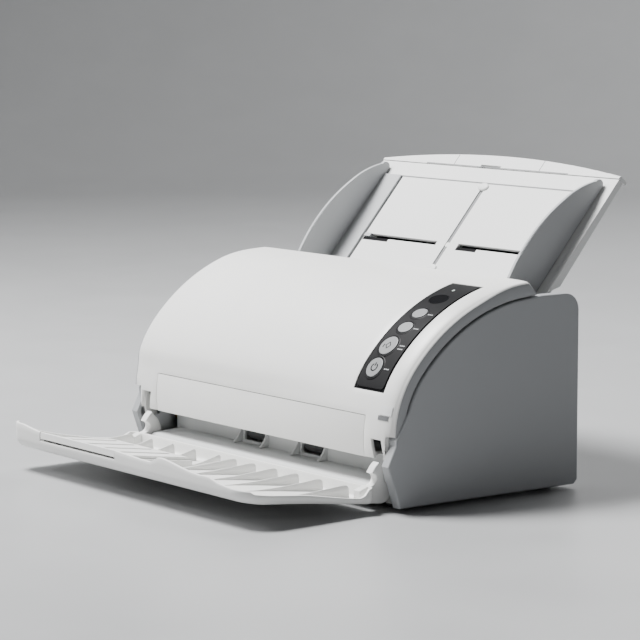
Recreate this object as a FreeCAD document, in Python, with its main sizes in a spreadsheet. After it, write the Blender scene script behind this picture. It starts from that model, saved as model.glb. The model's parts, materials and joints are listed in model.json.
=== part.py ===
"""Sheet fed document scanner: a parametric assembly, in millimetres.

Frame: +Z up, +X to the machine's right, -Y to the front. The table is z = 0 and the middle of the
assembly's footprint is x = 0, y = 0. Pieces are drawn with y counted from the middle of the body's
depth and are moved to the frame by the cell shift_y. The chute's pieces are drawn in the chute's own
frame, which leans back: x across, y up the slope, z out of the paper surface.
"""
import FreeCAD, Part
import math
import os

import Sketcher
from FreeCAD import Placement, Rotation, Vector

OUT = "parts"
BIG = 400.0          # longer than any size of the machine, for cuts that go right through

doc = FreeCAD.newDocument("scanner")
sizes = doc.addObject("Spreadsheet::Sheet", "Sizes")
subparts = []        # the finished sub-parts, in the order they are made


# ------------------------------------------------------------------ driving dimensions
DIMENSIONS = {
    "body_width": 301.0, "front_edge": -81.0, "rear_edge": 79.0, "shift_y": 20.97,
    "wall": 2.5, "thin_wall": 2.0, "panel_depth": 7.5, "foot_height": 3.0, "foot_radius": 8.0,
    "pan_height": 7.0, "rear_round": 12.0, "deck_height": 133.4,
    "front_centre_y": -4.6, "front_centre_z": 45.6, "front_radius": 77.0,
    "crown_centre_y": 41.6, "crown_centre_z": 5.8, "crown_radius": 138.0, "band_width": 11.5,
    "cover_width": 298.0, "cover_round": 3.0, "lip_edge": 42.2, "bezel_width": 242.0,
    "bezel_top": 61.0,
    "path_centre_y": -144.1, "path_centre_z": 258.5, "path_radius": 244.0, "path_angle": 49.0,
    "guide_width": 262.0, "guide_gap": 2.4, "exit_edge": -57.0,
    "shaft_radius": 3.0, "running_gap": 0.05, "bush_radius": 5.0,
    "plate_thickness": 1.5, "plate_inside": 136.0,
    "pick_radius": 12.0, "feed_radius": 8.0, "eject_radius": 6.2, "pinch_radius": 6.5, "proud": 0.6,
    "nip_gap": 0.3, "roller_width": 20.0, "roller_spread": 33.6,
    "gear_module": 1.0, "gear_width": 4.6, "gear_inside": 140.2, "backlash": 0.3,
    "glass_length": 224.0, "glass_width": 11.0, "glass_thickness": 1.8, "sensor_depth": 20.0,
    "motor_radius": 14.0, "motor_length": 38.0,
    "panel_left": 103.5, "panel_right": 132.0, "panel_thickness": 1.3, "key_travel": 0.6, "key_gap": 0.35,
    "tray_width": 284.0, "tray_front": -188.0, "tray_wall": 2.4,
    "tray_pivot_y": -77.5, "tray_pivot_z": 12.2, "cover_pivot_y": -71.0, "cover_pivot_z": 23.0,
    "tray_corner": 16.0, "fin_thickness": 1.8, "pin_radius": 2.0,
    "slip_left": -106.0, "slip_width": 94.0, "slip_length": 60.0, "slip_thickness": 1.8,
    "chute_y": 97.5, "chute_z": 164.6, "chute_width": 260.0, "chute_foot": -74.0, "chute_top": 54.0,
    "chute_skin": 2.0, "chute_rim": 6.0, "chute_back": 9.4, "arch_rise": 12.0,
    "slot_height": 3.4, "slot_y": -14.5, "slot_outer": 95.0, "slot_inner": 12.0,
    "fin_x": 118.0, "guide_wall": 3.0, "guide_foot": 20.0, "guide_slip": 0.4,
    "rack_length": 106.0, "rack_height": 4.0, "rack_thickness": 2.4, "pinion_teeth": 15.0,
}


def fill_sheet():
    """Writes every driving dimension into the sheet, one row each, with its alias."""
    for row, (alias, value) in enumerate(DIMENSIONS.items(), start=1):
        sizes.set(f"A{row}", alias)
        sizes.set(f"B{row}", str(value))
        sizes.setAlias(f"B{row}", alias)
    doc.recompute()


def cell(alias):
    """The value of a cell of the sheet."""
    return float(getattr(sizes, alias))


# ------------------------------------------------------------------ building helpers
def bind(item, **expressions):
    """Ties properties of a feature to cells. A plain number is set as it is."""
    for name, value in expressions.items():
        if isinstance(value, str):
            item.setExpression(name, value.replace("$", "Sizes."))
        else:
            setattr(item, name, value)
    return item


def finish(item, label, placement=None):
    """Names a sub-part and moves it from its drawing frame to the machine's frame."""
    item.Label = label
    local = placement if placement is not None else item.Placement
    item.Placement = Placement(Vector(0, cell("shift_y"), 0), Rotation()).multiply(local)
    subparts.append(item)
    return item


def on_chute():
    """The chute's own frame: its slope turns about X."""
    return tilted(cell("chute_y"), cell("chute_z"), cell("path_angle"))


def tilted(y, z, angle, x=0.0):
    """A frame at (x, y, z), turned about X so that its Y runs along a slope of that angle."""
    return Placement(Vector(x, y, z), Rotation(Vector(1, 0, 0), angle))


def box(name, low, size, placement=None):
    """A Part::Box. Each length is a number or an expression on the sheet's cells."""
    item = doc.addObject("Part::Box", name)
    bind(item, Length=size[0], Width=size[1], Height=size[2])
    corner = Placement(Vector(*low), Rotation())
    item.Placement = placement.multiply(corner) if placement else corner
    return item


def rod(name, start, radius, length, axis=(1, 0, 0), placement=None):
    """A Part::Cylinder from a start point along an axis."""
    item = doc.addObject("Part::Cylinder", name)
    bind(item, Radius=radius, Height=length)
    turn = Rotation(Vector(0, 0, 1), Vector(*axis))
    local = Placement(Vector(*start), turn)
    item.Placement = placement.multiply(local) if placement else local
    return item


def cut(name, base, tools):
    """Base minus tools."""
    tool = tools[0] if len(tools) == 1 else fuse(name + "_tools", tools)
    item = doc.addObject("Part::Cut", name)
    item.Base, item.Tool = base, tool
    return item


def fuse(name, items):
    item = doc.addObject("Part::MultiFuse", name)
    item.Shapes = items
    return item


def group(name, items):
    """Separate solids of one kind in one node."""
    item = doc.addObject("Part::Compound", name)
    item.Links = items
    return item


def new_body(name):
    return doc.addObject("PartDesign::Body", name)


def sketch_on(body, role, name, offset=0.0):
    """A sketch on one of the body's origin planes, moved along the plane's normal by offset."""
    sketch = body.newObject("Sketcher::SketchObject", name)
    plane = next(f for f in body.Origin.OriginFeatures if f.Role == role)
    sketch.AttachmentSupport = [(plane, "")]
    sketch.MapMode = "FlatFace"
    sketch.AttachmentOffset = Placement(Vector(0, 0, offset), Rotation())
    return sketch


def draw(sketch, outline):
    """Draws a closed outline of points joined by lines, or by an arc where ("arc", middle) stands between."""
    corners = list(outline) + [outline[0]]
    i = 0
    while i < len(corners) - 1:
        here = Vector(*corners[i], 0)
        if corners[i + 1][0] == "arc":
            middle, there = Vector(*corners[i + 1][1], 0), Vector(*corners[i + 2], 0)
            sketch.addGeometry(Part.ArcOfCircle(here, middle, there), False)
            i += 2
        else:
            sketch.addGeometry(Part.LineSegment(here, Vector(*corners[i + 1], 0)), False)
            i += 1
    return sketch


def draw_rectangle(sketch, centre, width, height):
    """A rectangle whose width and height are constraints tied to the sheet."""
    x, y = centre
    w, h = (cell(v[1:]) if isinstance(v, str) else float(v) for v in (width, height))
    p = [Vector(x + i * w / 2, y + j * h / 2, 0) for i, j in ((-1, -1), (1, -1), (1, 1), (-1, 1))]
    for i in range(4):
        sketch.addGeometry(Part.LineSegment(p[i], p[(i + 1) % 4]), False)
    for i in range(4):
        sketch.addConstraint(Sketcher.Constraint("Coincident", i, 2, (i + 1) % 4, 1))
    for i, kind in enumerate(("Horizontal", "Vertical", "Horizontal", "Vertical")):
        sketch.addConstraint(Sketcher.Constraint(kind, i))
    for edge, kind, size, value in ((0, "DistanceX", width, w), (1, "DistanceY", height, h)):
        index = sketch.addConstraint(Sketcher.Constraint(kind, edge, 1, edge, 2, value))
        if isinstance(size, str):
            sketch.setExpression(f"Constraints[{index}]", size.replace("$", "Sizes."))
    return sketch


def pad(body, sketch, length, middle=False):
    item = body.newObject("PartDesign::Pad", "Pad")
    item.Profile = sketch
    item.SideType = "Symmetric" if middle else "One side"
    bind(item, Length=length)
    return item


def pocket(body, sketch, length, reverse=False, middle=False):
    item = body.newObject("PartDesign::Pocket", "Pocket")
    item.Profile = sketch
    item.SideType = "Symmetric" if middle else "One side"
    item.Reversed = reverse
    bind(item, Length=length)
    return item


def bar(name, outline, low, width, role="YZ_Plane"):
    """A body made by one sketch across a plane, padded by width from the place low along its normal."""
    body = new_body(name)
    pad(body, draw(sketch_on(body, role, name + "_outline", low), outline), width)
    return body


def strip(name, outline, half):
    """A body whose outline in the side view is padded to both sides of the middle."""
    body = new_body(name)
    pad(body, draw(sketch_on(body, "YZ_Plane", name + "_outline"), outline), 2 * half, middle=True)
    return body


def round_edges(body, radius, wanted):
    """A fillet on the edges of the body's tip whose middle point passes the test."""
    doc.recompute()
    tip = body.Tip
    names = []
    for n, edge in enumerate(tip.Shape.Edges, start=1):
        first, last = edge.ParameterRange
        if wanted(edge, edge.valueAt((first + last) / 2)):
            names.append(f"Edge{n}")
    item = body.newObject("PartDesign::Fillet", "Fillet")
    item.Base = (tip, names)
    bind(item, Radius=radius)
    return item


def solid(label, shape, placement=None):
    """A sub-part whose shape comes from Part's own functions."""
    item = doc.addObject("Part::Feature", label)
    item.Shape = shape
    return finish(item, label, placement)


# ------------------------------------------------------------------ curves shared by many pieces
def on_arc(cy, cz, radius, slope):
    """The point of an arc bulging up and forwards where its tangent has that slope."""
    a = math.radians(slope)
    return (cy - radius * math.sin(a), cz + radius * math.cos(a))


JOIN_SLOPE = 49.3     # the slope where the front arc runs into the crown arc
TOP_SLOPE = 3.0       # the crown's slope at the rear lip


def front_arc(inset, slope):
    return on_arc(cell("front_centre_y"), cell("front_centre_z"), cell("front_radius") - inset, slope)


def crown_arc(inset, slope):
    return on_arc(cell("crown_centre_y"), cell("crown_centre_z"), cell("crown_radius") - inset, slope)


def front_slope_at(height, inset=0.0):
    """The slope of the front arc at a height."""
    return math.degrees(math.acos((height - cell("front_centre_z")) / (cell("front_radius") - inset)))


def skin_point(inset, slope):
    """A point of the cover's outer curve, which is the front arc below the join and the crown above it."""
    return front_arc(inset, slope) if slope > JOIN_SLOPE else crown_arc(inset, slope)


def skin_run(inset, low_slope, high_slope):
    """The stretch of the cover's curve between two slopes, as points and arcs, from low to high."""
    join = front_arc(inset, JOIN_SLOPE)
    if low_slope <= JOIN_SLOPE:
        return [crown_arc(inset, low_slope), ("arc", crown_arc(inset, (low_slope + high_slope) / 2)),
                crown_arc(inset, high_slope)]
    if high_slope >= JOIN_SLOPE:
        return [front_arc(inset, low_slope), ("arc", front_arc(inset, (low_slope + high_slope) / 2)),
                front_arc(inset, high_slope)]
    return [front_arc(inset, low_slope), ("arc", front_arc(inset, (low_slope + JOIN_SLOPE) / 2)), join,
            ("arc", crown_arc(inset, (JOIN_SLOPE + high_slope) / 2)), crown_arc(inset, high_slope)]


def reverse_run(run):
    return list(reversed(run))


def band(inset_out, inset_in, low_slope, high_slope):
    """A strip of even thickness that follows the cover's curve."""
    return skin_run(inset_out, low_slope, high_slope) + reverse_run(skin_run(inset_in, low_slope, high_slope))


def on_path(slope, out=0.0):
    """The point of the paper path where it has that slope, moved out towards the upper unit."""
    a = math.radians(slope)
    reach = cell("path_radius") - out
    return (cell("path_centre_y") + reach * math.sin(a), cell("path_centre_z") - reach * math.cos(a))


def path_slope_at(y, out=0.0):
    return math.degrees(math.asin((y - cell("path_centre_y")) / (cell("path_radius") - out)))


def path_run(out, low_y, high_slope):
    """The curved stretch of the paper path, from a front place up to a slope."""
    low = path_slope_at(low_y, out)
    return [on_path(low, out), ("arc", on_path((low + high_slope) / 2, out)), on_path(high_slope, out)]


def along(point, slope, distance):
    a = math.radians(slope)
    return (point[0] + distance * math.cos(a), point[1] + distance * math.sin(a))


# ------------------------------------------------------------------ places of the shafts
PICK_SLOPE, FEED_SLOPE = 48.0, 40.0
PICK_TEETH, FEED_TEETH, EJECT_TEETH = 24, 24, 24
PICK_IDLER_TEETH, DRIVE_IDLER_TEETH, PINION_TEETH = 20, 56, 14
EJECT_Y = -52.6
SCAN_LOW_Y, SCAN_HIGH_Y = -17.5, -35.0
APRON_END = 127.5     # the outer end of the exit apron, clear of the tray's arms


def under_path(slope, radius):
    """A shaft's centre below the path, for a roller that stands proud of the guide."""
    return on_path(slope, cell("proud") - radius)


def over_path(slope, radius):
    """A pinch roller's centre above the path, clear of the driven roller by the nip gap."""
    return on_path(slope, cell("proud") + cell("nip_gap") + radius)


def between(a, b, ra, rb, side):
    """The point at distance ra from a and rb from b, on the given side of the line from a to b."""
    dy, dz = b[0] - a[0], b[1] - a[1]
    d = math.hypot(dy, dz)
    t = (ra ** 2 - rb ** 2 + d ** 2) / (2 * d)
    h = side * math.sqrt(ra ** 2 - t ** 2)
    return (a[0] + (t * dy - h * dz) / d, a[1] + (t * dz + h * dy) / d)


def shaft_places():
    """The centres, in the side view, of every driven shaft and idler."""
    m = cell("gear_module")
    eject_slope = path_slope_at(EJECT_Y)
    place = {"pick": under_path(PICK_SLOPE, cell("pick_radius")),
             "feed": under_path(FEED_SLOPE, cell("feed_radius")),
             "eject": under_path(eject_slope, cell("eject_radius"))}
    reach_pick = m * (PICK_TEETH + PICK_IDLER_TEETH) / 2
    reach_feed = m * (FEED_TEETH + PICK_IDLER_TEETH) / 2
    place["pick_idler"] = between(place["feed"], place["pick"], reach_feed, reach_pick, -1)
    reach = m * (FEED_TEETH + DRIVE_IDLER_TEETH) / 2
    place["drive_idler"] = between(place["feed"], place["eject"], reach, reach, 1)
    far = m * (DRIVE_IDLER_TEETH + PINION_TEETH) / 2
    place["pinion"] = along(place["drive_idler"], -12.0, far)
    return place


# ------------------------------------------------------------------ lower housing
def side_outline(inset):
    """The side panel's outline, kept inset from its edge."""
    step = cell("band_width") + inset
    rear, deck, r = cell("rear_edge") - inset, cell("deck_height") - inset, cell("rear_round") - inset
    low = cell("foot_height") + inset
    corner = (rear - r + r * math.sin(math.pi / 4), deck - r + r * math.sin(math.pi / 4))
    front = [(-74.3 + inset, low), (-84.0 + 1.2 * inset, 31.0), (-77.6 + 0.8 * inset, 44.0),
             (-77.6 + inset, 47.5)]
    back = [(46.0, deck), (rear - r, deck), ("arc", corner), (rear, deck - r), (rear, low + 3),
            (rear - 3, low)]
    return front + skin_run(step, front_slope_at(66.0, step), TOP_SLOPE) + back


def side_panels():
    """Left and right side casings: shallow trays that open towards the middle."""
    half = cell("body_width") / 2
    depth = cell("panel_depth")
    for label, side in (("left_side_panel", -1), ("right_side_panel", 1)):
        body = new_body(label + "_casing")
        outer_face = half if side > 0 else -half + depth
        pad(body, draw(sketch_on(body, "YZ_Plane", label + "_outline", outer_face - depth), side_outline(0)),
            "$panel_depth")
        inner = half - depth if side > 0 else -half + cell("wall")
        sketch = draw(sketch_on(body, "YZ_Plane", label + "_hollow", inner), side_outline(cell("wall")))
        pocket(body, sketch, depth - cell("wall"), reverse=True)
        round_edges(body, 1.2, lambda edge, p, x=side * half: abs(p.x - x) < 0.01)
        deck = cell("deck_height") - 3.0
        low = 131.5 if side > 0 else -half + 1.0
        shelf = box(label + "_shelf", (low, 44.0, deck - 2.0), (half - 1.0 - 131.5, 28.4, 2.0))
        finish(fuse(label + "_whole", [body, shelf]), label)


def base_pan():
    """The bottom pan, with a raised wall, bosses for the board and holes for air."""
    low, high = -67.5, cell("rear_edge") - cell("wall") - 0.4
    middle, length = (low + high) / 2, high - low
    body = new_body("base_pan")
    width = cell("body_width") - 2 * cell("panel_depth") - 0.6
    sketch = sketch_on(body, "XY_Plane", "pan_outline", cell("foot_height"))
    pad(body, draw_rectangle(sketch, (0, middle), width, length), "$pan_height")
    sketch = sketch_on(body, "XY_Plane", "pan_hollow", cell("foot_height") + cell("wall"))
    inner = draw_rectangle(sketch, (0, middle), width - 2 * cell("wall"), length - 2 * cell("wall"))
    pocket(body, inner, "$pan_height", reverse=True)
    slots = sketch_on(body, "XY_Plane", "air_slots", cell("foot_height"))
    for row in range(-4, 5):
        x = row * 14.0
        draw(slots, [(x - 4, 30), (x + 4, 30), (x + 4, 33), (x - 4, 33)])
    pocket(body, slots, BIG, middle=True)
    finish(body, "base_pan")


def rear_cover():
    """The rear casing, rolled over at the top, with vents, connector openings and a lock slot."""
    rear, deck, r, wall = (cell(n) for n in ("rear_edge", "deck_height", "rear_round", "wall"))
    half = cell("body_width") / 2 - cell("panel_depth") - 0.2
    low = cell("foot_height") + cell("pan_height") + 0.3
    cy, cz = rear - r, deck - r
    lip = 50.0        # degrees over the top corner before the chute's opening

    def corner(radius, degrees):
        a = math.radians(degrees)
        return (cy + radius * math.cos(a), cz + radius * math.sin(a))

    outline = [(rear, low), (rear, cz), ("arc", corner(r, lip / 2)), corner(r, lip), corner(r - wall, lip),
               ("arc", corner(r - wall, lip / 2)), (rear - wall, cz), (rear - wall, low)]
    body = strip("rear_cover", outline, half)
    holes = sketch_on(body, "XZ_Plane", "rear_openings")
    for row in range(6):
        for column in range(12):
            x, z = -118 + column * 9.0, 84 + row * 5.0
            draw(holes, [(x, z), (x + 7, z), (x + 7, z + 2), (x, z + 2)])
    draw(holes, [(60, 26), (74, 26), (74, 37), (60, 37)])
    draw(holes, [(97, 25), (107, 25), (107, 38), (97, 38)])
    draw(holes, [(-130, 26), (-123, 26), (-123, 29.2), (-130, 29.2)])
    pocket(body, holes, BIG, middle=True)
    finish(body, "rear_cover")


def roller_windows(slope_list, height):
    """Boxes that open a guide sheet over its rollers: (slope, x centres, width across, length along y)."""
    tools = []
    for n, (slope, centres, width, length) in enumerate(slope_list):
        y, z = on_path(slope)
        for k, x in enumerate(centres):
            low = (x - width / 2, y - length / 2, z - height / 2)
            tools.append(box(f"window_{n}_{k}", low, (width, length, height)))
    return tools


def lower_guide():
    """The lower paper guide: a curved sheet from the chute to the exit, and the wall under the exit."""
    wall, thin = cell("wall"), cell("thin_wall")
    half = cell("guide_width") / 2
    over = along(on_path(cell("path_angle")), cell("path_angle"), 9.0)
    edge = cell("exit_edge")
    foot = 16.5
    outline = ([(edge, foot)] + path_run(0.0, edge, cell("path_angle")) + [over]
               + [along(over, cell("path_angle") - 90, wall)]
               + reverse_run(path_run(-wall, edge + wall, cell("path_angle"))) + [(edge + wall, foot)])
    sheet = strip("guide_sheet", outline, half)
    spread, wide = cell("roller_spread"), cell("roller_width") + 3.0
    scan = path_slope_at(SCAN_LOW_Y)
    windows = [(PICK_SLOPE, (-22, 22), wide, 19.0), (FEED_SLOPE, (-spread, spread), wide, 14.0)]
    tools = roller_windows(windows, 16.0)
    eject_low = 20.8
    for k, x in enumerate((-spread, spread)):
        low = (x - wide / 2 - 1.5, edge - 1, eject_low)
        tools.append(box(f"exit_window_{k}", low, (wide + 3, 14.5, 20)))
    y, z = on_path(scan)
    corner = (-cell("glass_length") / 2 - 0.5, y - 6.6, z - 8)
    tools.append(box("glass_opening", corner, ("$glass_length + 1", 13.2, 16)))
    sheet = cut("guide_opened", sheet, tools)
    ribs = []
    for k, x in enumerate((-spread - 15.5, -spread + 15.5, spread - 15.5, spread + 15.5)):
        rib = [(edge + 0.5, 19.5), (edge + 0.5, 30.2), (edge - 1.2, 29.6), ("arc", (edge - 3.4, 24.5)),
               (edge - 7.5, 20.0), (edge - 7.5, 19.1)]
        ribs.append(bar(f"guide_rib_{k}", rib, x - thin / 2, thin))
    finish(fuse("lower_guide_whole", [sheet] + ribs), "lower_guide")


def exit_apron():
    """The sill in front of the exit wall, rolled down to the base, with the tray's pins at its ends."""
    edge, low = cell("exit_edge"), cell("foot_height")
    py, pz = cell("tray_pivot_y"), cell("tray_pivot_z")
    outline = [(edge - 0.2, 19.0), (py + 0.5, 17.6), ("arc", (py - 4.5, pz + 3.6)), (py - 5.7, pz - 1.7),
               (-75.0, low), (-70.4, low), (-70.4, low + 2), (-73.6, low + 2), (py - 3.4, pz - 1.4),
               ("arc", (py - 2.6, pz + 2.0)), (py + 0.6, 15.4), (edge - 0.2, 16.8)]
    sheet = strip("apron_sheet", outline, APRON_END)
    ends, bores = [], []
    for side in (-1, 1):
        low_x = APRON_END - 10 if side > 0 else -APRON_END
        ends.append(rod(f"apron_end_{side}", (low_x, py, pz), 4.6, 10))
        bores.append(rod(f"apron_bore_{side}", (low_x - 1, py, pz), "$pin_radius + $running_gap", 12))
    finish(cut("apron_whole", fuse("apron_blank", [sheet] + ends), bores), "exit_apron")


def chassis_plates(place):
    """Two steel plates that carry the shafts, with a flange along the bottom."""
    inside, thick = cell("plate_inside"), cell("plate_thickness")
    hy, hz = cell("cover_pivot_y"), cell("cover_pivot_z")
    outline = [(-64, 8), (71, 8), (71, 104), (52, 112), (36, 104), (-30, 54), (-62, 38), (hy + 2, hz + 5.6),
               ("arc", (hy - 6, hz)), (hy + 2, hz - 5.6)]
    for label, low in (("left_chassis_plate", -inside - thick), ("right_chassis_plate", inside)):
        body = bar(label + "_sheet", outline, low, "$plate_thickness")
        tools = []
        for name in ("pick", "feed", "eject"):
            y, z = place[name]
            tools.append(rod(f"{label}_{name}", (low - 1, y, z), "$bush_radius", thick + 2))
        tools.append(rod(label + "_hinge", (low - 1, hy, hz), "$pin_radius", thick + 2))
        if low > 0:
            y, z = place["pinion"]
            tools.append(rod("plate_motor_hole", (low - 1, y, z), 6.2, thick + 2))
        for k, (y, z) in enumerate(((-8, 16), (44, 30), (58, 60))):
            tools.append(rod(f"{label}_lightening_{k}", (low - 1, y, z), 5.0, thick + 2))
        finish(cut(label + "_holed", body, tools), label)
    start = inside + 0.01
    ends = ((-1, -start - 7), (1, start))
    pins = [rod(f"cover_pin_{side}", (low, hy, hz), "$pin_radius", 7) for side, low in ends]
    finish(group("cover_pins_group", pins), "cover_pins")


def shaft_bushes(place):
    """Six flanged plain bearings, one in each plate for each shaft."""
    inside, thick = cell("plate_inside"), cell("plate_thickness")
    bushes = []
    bore = "$shaft_radius + $running_gap"
    for name in ("pick", "feed", "eject"):
        y, z = place[name]
        for side in (-1, 1):
            low = inside if side > 0 else -inside - thick - 1.5
            flange = inside + thick if side > 0 else -inside - thick - 1.5
            sleeve = rod(f"sleeve_{name}_{side}", (low, y, z), "$bush_radius", thick + 1.5)
            collar = rod(f"collar_{name}_{side}", (flange, y, z), "$bush_radius + 1.5", 1.5)
            hole = rod(f"bush_bore_{name}_{side}", (low - 1, y, z), bore, thick + 4)
            blank = fuse(f"bush_blank_{name}_{side}", [sleeve, collar])
            bushes.append(cut(f"bush_{name}_{side}", blank, [hole]))
    finish(group("bushes", bushes), "shaft_bushes")


def scan_line(label, y_place, sign):
    """A glass strip in the path's opening and the sensor housing behind it. Sign is -1 below the path."""
    slope = path_slope_at(y_place)
    y, z = on_path(slope, 0 if sign < 0 else cell("guide_gap"))
    frame = tilted(y, z, slope)
    long, wide, thick = cell("glass_length"), cell("glass_width"), cell("glass_thickness")
    base = -0.3 - thick if sign < 0 else 0.3
    pane = ("$glass_length", "$glass_width", "$glass_thickness")
    glass = box(label + "_pane", (-long / 2, -wide / 2, base), pane, frame)
    finish(glass, label + "_glass")
    depth = cell("sensor_depth")
    start = base - 0.55 - depth if sign < 0 else base + thick + 0.55
    block = box(label + "_block", (-long / 2 - 1, -7.5, start), (long + 2, 15.0, "$sensor_depth"), frame)
    window = start + depth - 6 if sign < 0 else start - 1
    channel = box(label + "_channel", (-long / 2 + 5, -3.0, window), (long - 10, 6.0, 7.0), frame)
    finish(cut(label + "_sensor_whole", block, [channel]), label + "_sensor")


def electronics(place):
    """Main board with its parts, the power jack and the data port behind the rear cover, and the motor."""
    board_y = 68.0
    items = [box("board_sheet", (-118, board_y, 20), (236, 1.6, 74))]
    # each part of the board: x, z, width, height, depth
    chips = [(-96, 40, 24, 24, 2.4), (-50, 46, 16, 16, 2.0), (-10, 62, 30, 10, 8.0),
             (30, 66, 12, 12, 10.0), (-70, 74, 40, 7, 6.0), (92, 68, 18, 7, 7.0)]
    for k, (x, z, w, h, d) in enumerate(chips):
        items.append(box(f"board_part_{k}", (x, board_y - d, z), (w, d + 0.2, h)))
    finish(fuse("board_whole", items), "main_board")
    jack = cut("jack_hollow", box("jack_block", (60.4, board_y + 1.7, 26.4), (13.2, 9.1, 10.2)),
               [rod("jack_bore", (67, board_y + 3.5, 31.5), 3.2, 20, axis=(0, 1, 0))])
    pin = rod("jack_pin", (67, board_y + 3.0, 31.5), 1.0, 6.5, axis=(0, 1, 0))
    finish(fuse("jack_whole", [jack, pin]), "power_jack")
    port = cut("port_hollow", box("port_block", (97.4, board_y + 1.7, 25.4), (9.2, 9.1, 12.2)),
               [box("port_mouth", (98.6, board_y + 4, 26.6), (6.8, 20, 9.8))])
    tongue = box("port_tongue", (100.6, board_y + 3.5, 28.4), (2.8, 6.5, 6.2))
    finish(fuse("port_whole", [port, tongue]), "data_port")
    y, z = place["pinion"]
    end = cell("plate_inside")
    can = rod("motor_can", (end - cell("motor_length"), y, z), "$motor_radius", "$motor_length")
    nose = rod("motor_nose", (end - 0.5, y, z), 6.0, 2.3)
    bore = rod("motor_bore", (end - 20, y, z), 1.6, 30)
    finish(cut("motor_whole", fuse("motor_blank", [can, nose]), [bore]), "drive_motor")


def feet_and_screws():
    """Four rubber feet and six bottom screws."""
    feet, screws = [], []
    for x in (-128, 128):
        for y in (-58, 64):
            foot = new_body("foot")
            sketch = sketch_on(foot, "XZ_Plane", "foot_outline")
            high, wide = cell("foot_height"), cell("foot_radius")
            draw(sketch, [(0, 0), (wide - 1.2, 0), (wide - 0.4, 0.6), (wide, high), (0, high)])
            turn = foot.newObject("PartDesign::Revolution", "Revolution")
            turn.Profile = sketch
            turn.ReferenceAxis = (sketch, ["V_Axis"])
            turn.Angle = 360
            foot.Placement = Placement(Vector(x, y, 0), Rotation())
            feet.append(foot)
    for x in (-110, 0, 110):
        for y in (-50, 56):
            head = rod(f"screw_{x}_{y}", (x, y, cell("foot_height") - 1.4), 3.0, 1.4, axis=(0, 0, 1))
            drive = box(f"screw_slot_{x}_{y}", (x - 2.2, y - 0.4, 1.0), (4.4, 0.8, 1.2))
            screws.append(cut(f"screw_whole_{x}_{y}", head, [drive]))
    finish(group("feet", feet), "rubber_feet")
    finish(group("screws", screws), "base_screws")


# ------------------------------------------------------------------ rollers and gears
def rings(name, y, z, radius, centres, width, bore):
    """Roller tyres on one shaft, as separate rings."""
    made = []
    for k, x in enumerate(centres):
        tyre = rod(f"{name}_tyre_{k}", (x - width / 2, y, z), radius, width)
        hole = rod(f"{name}_hole_{k}", (x - width / 2 - 1, y, z), bore, width + 2)
        made.append(cut(f"{name}_ring_{k}", tyre, [hole]))
    return group(name + "_group", made)


def gear_outline(teeth, phase):
    """A spur gear's outline as points: involute flanks, thinned for backlash, tooth 0 at the phase angle."""
    m = cell("gear_module")
    pitch, base = m * teeth / 2, m * teeth / 2 * math.cos(math.radians(20))
    tip, root = pitch + 0.9 * m, pitch - 1.2 * m
    half = math.pi / (2 * teeth) - cell("backlash") / (4 * pitch)

    def spread(radius):
        if radius <= base:
            return 0.0
        a = math.acos(base / radius)
        return math.tan(a) - a

    points = []
    radii = [max(root + 0.15, base * 0.985), pitch - 0.3 * m, pitch + 0.35 * m, tip]
    for n in range(teeth):
        middle = math.radians(phase) + 2 * math.pi * n / teeth
        flank = [(r, half + spread(pitch) - spread(r)) for r in radii]
        foot = [(root, math.pi / teeth - 0.35 * (math.pi / teeth - flank[0][1]))]
        for r, a in foot + flank:
            points.append((r, middle - a))
        for r, a in reversed(foot + flank):
            points.append((r, middle + a))
    return [(r * math.cos(a), r * math.sin(a)) for r, a in points]


def gear(label, centre, teeth, phase, low, bore):
    """A spur gear lying in the side view, bored for its shaft, with a web thinner than its rim."""
    y, z = centre
    width = cell("gear_width")
    points = [Vector(low, y + a, z + b) for a, b in gear_outline(teeth, phase)]
    shape = Part.Face(Part.makePolygon(points + points[:1])).extrude(Vector(width, 0, 0))
    rim = cell("gear_module") * teeth / 2 - 4.2
    if rim > 9:
        ring = Part.makeCylinder(rim, 1.4, Vector(low + width - 1.4, y, z), Vector(1, 0, 0))
        core = Part.makeCylinder(5.5, 1.4, Vector(low + width - 1.4, y, z), Vector(1, 0, 0))
        shape = shape.cut(ring.cut(core))
        for k in range(6):
            a = math.radians(60 * k)
            reach = (rim + 5.5) / 2
            if rim > 16:
                spot = Vector(low - 1, y + reach * math.cos(a), z + reach * math.sin(a))
                shape = shape.cut(Part.makeCylinder(3.6, width + 2, spot, Vector(1, 0, 0)))
    shape = shape.cut(Part.makeCylinder(bore, width + 2, Vector(low - 1, y, z), Vector(1, 0, 0)))
    return solid(label, shape)


def mesh_phase(here, there, teeth_here, phase_here, teeth_there):
    """The phase that puts the next gear's gap opposite this gear's tooth."""
    toward = math.degrees(math.atan2(there[1] - here[1], there[0] - here[0]))
    past = ((toward - phase_here) / (360.0 / teeth_here)) % 1.0
    return toward + 180 + (past + 0.5) * 360.0 / teeth_there


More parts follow.
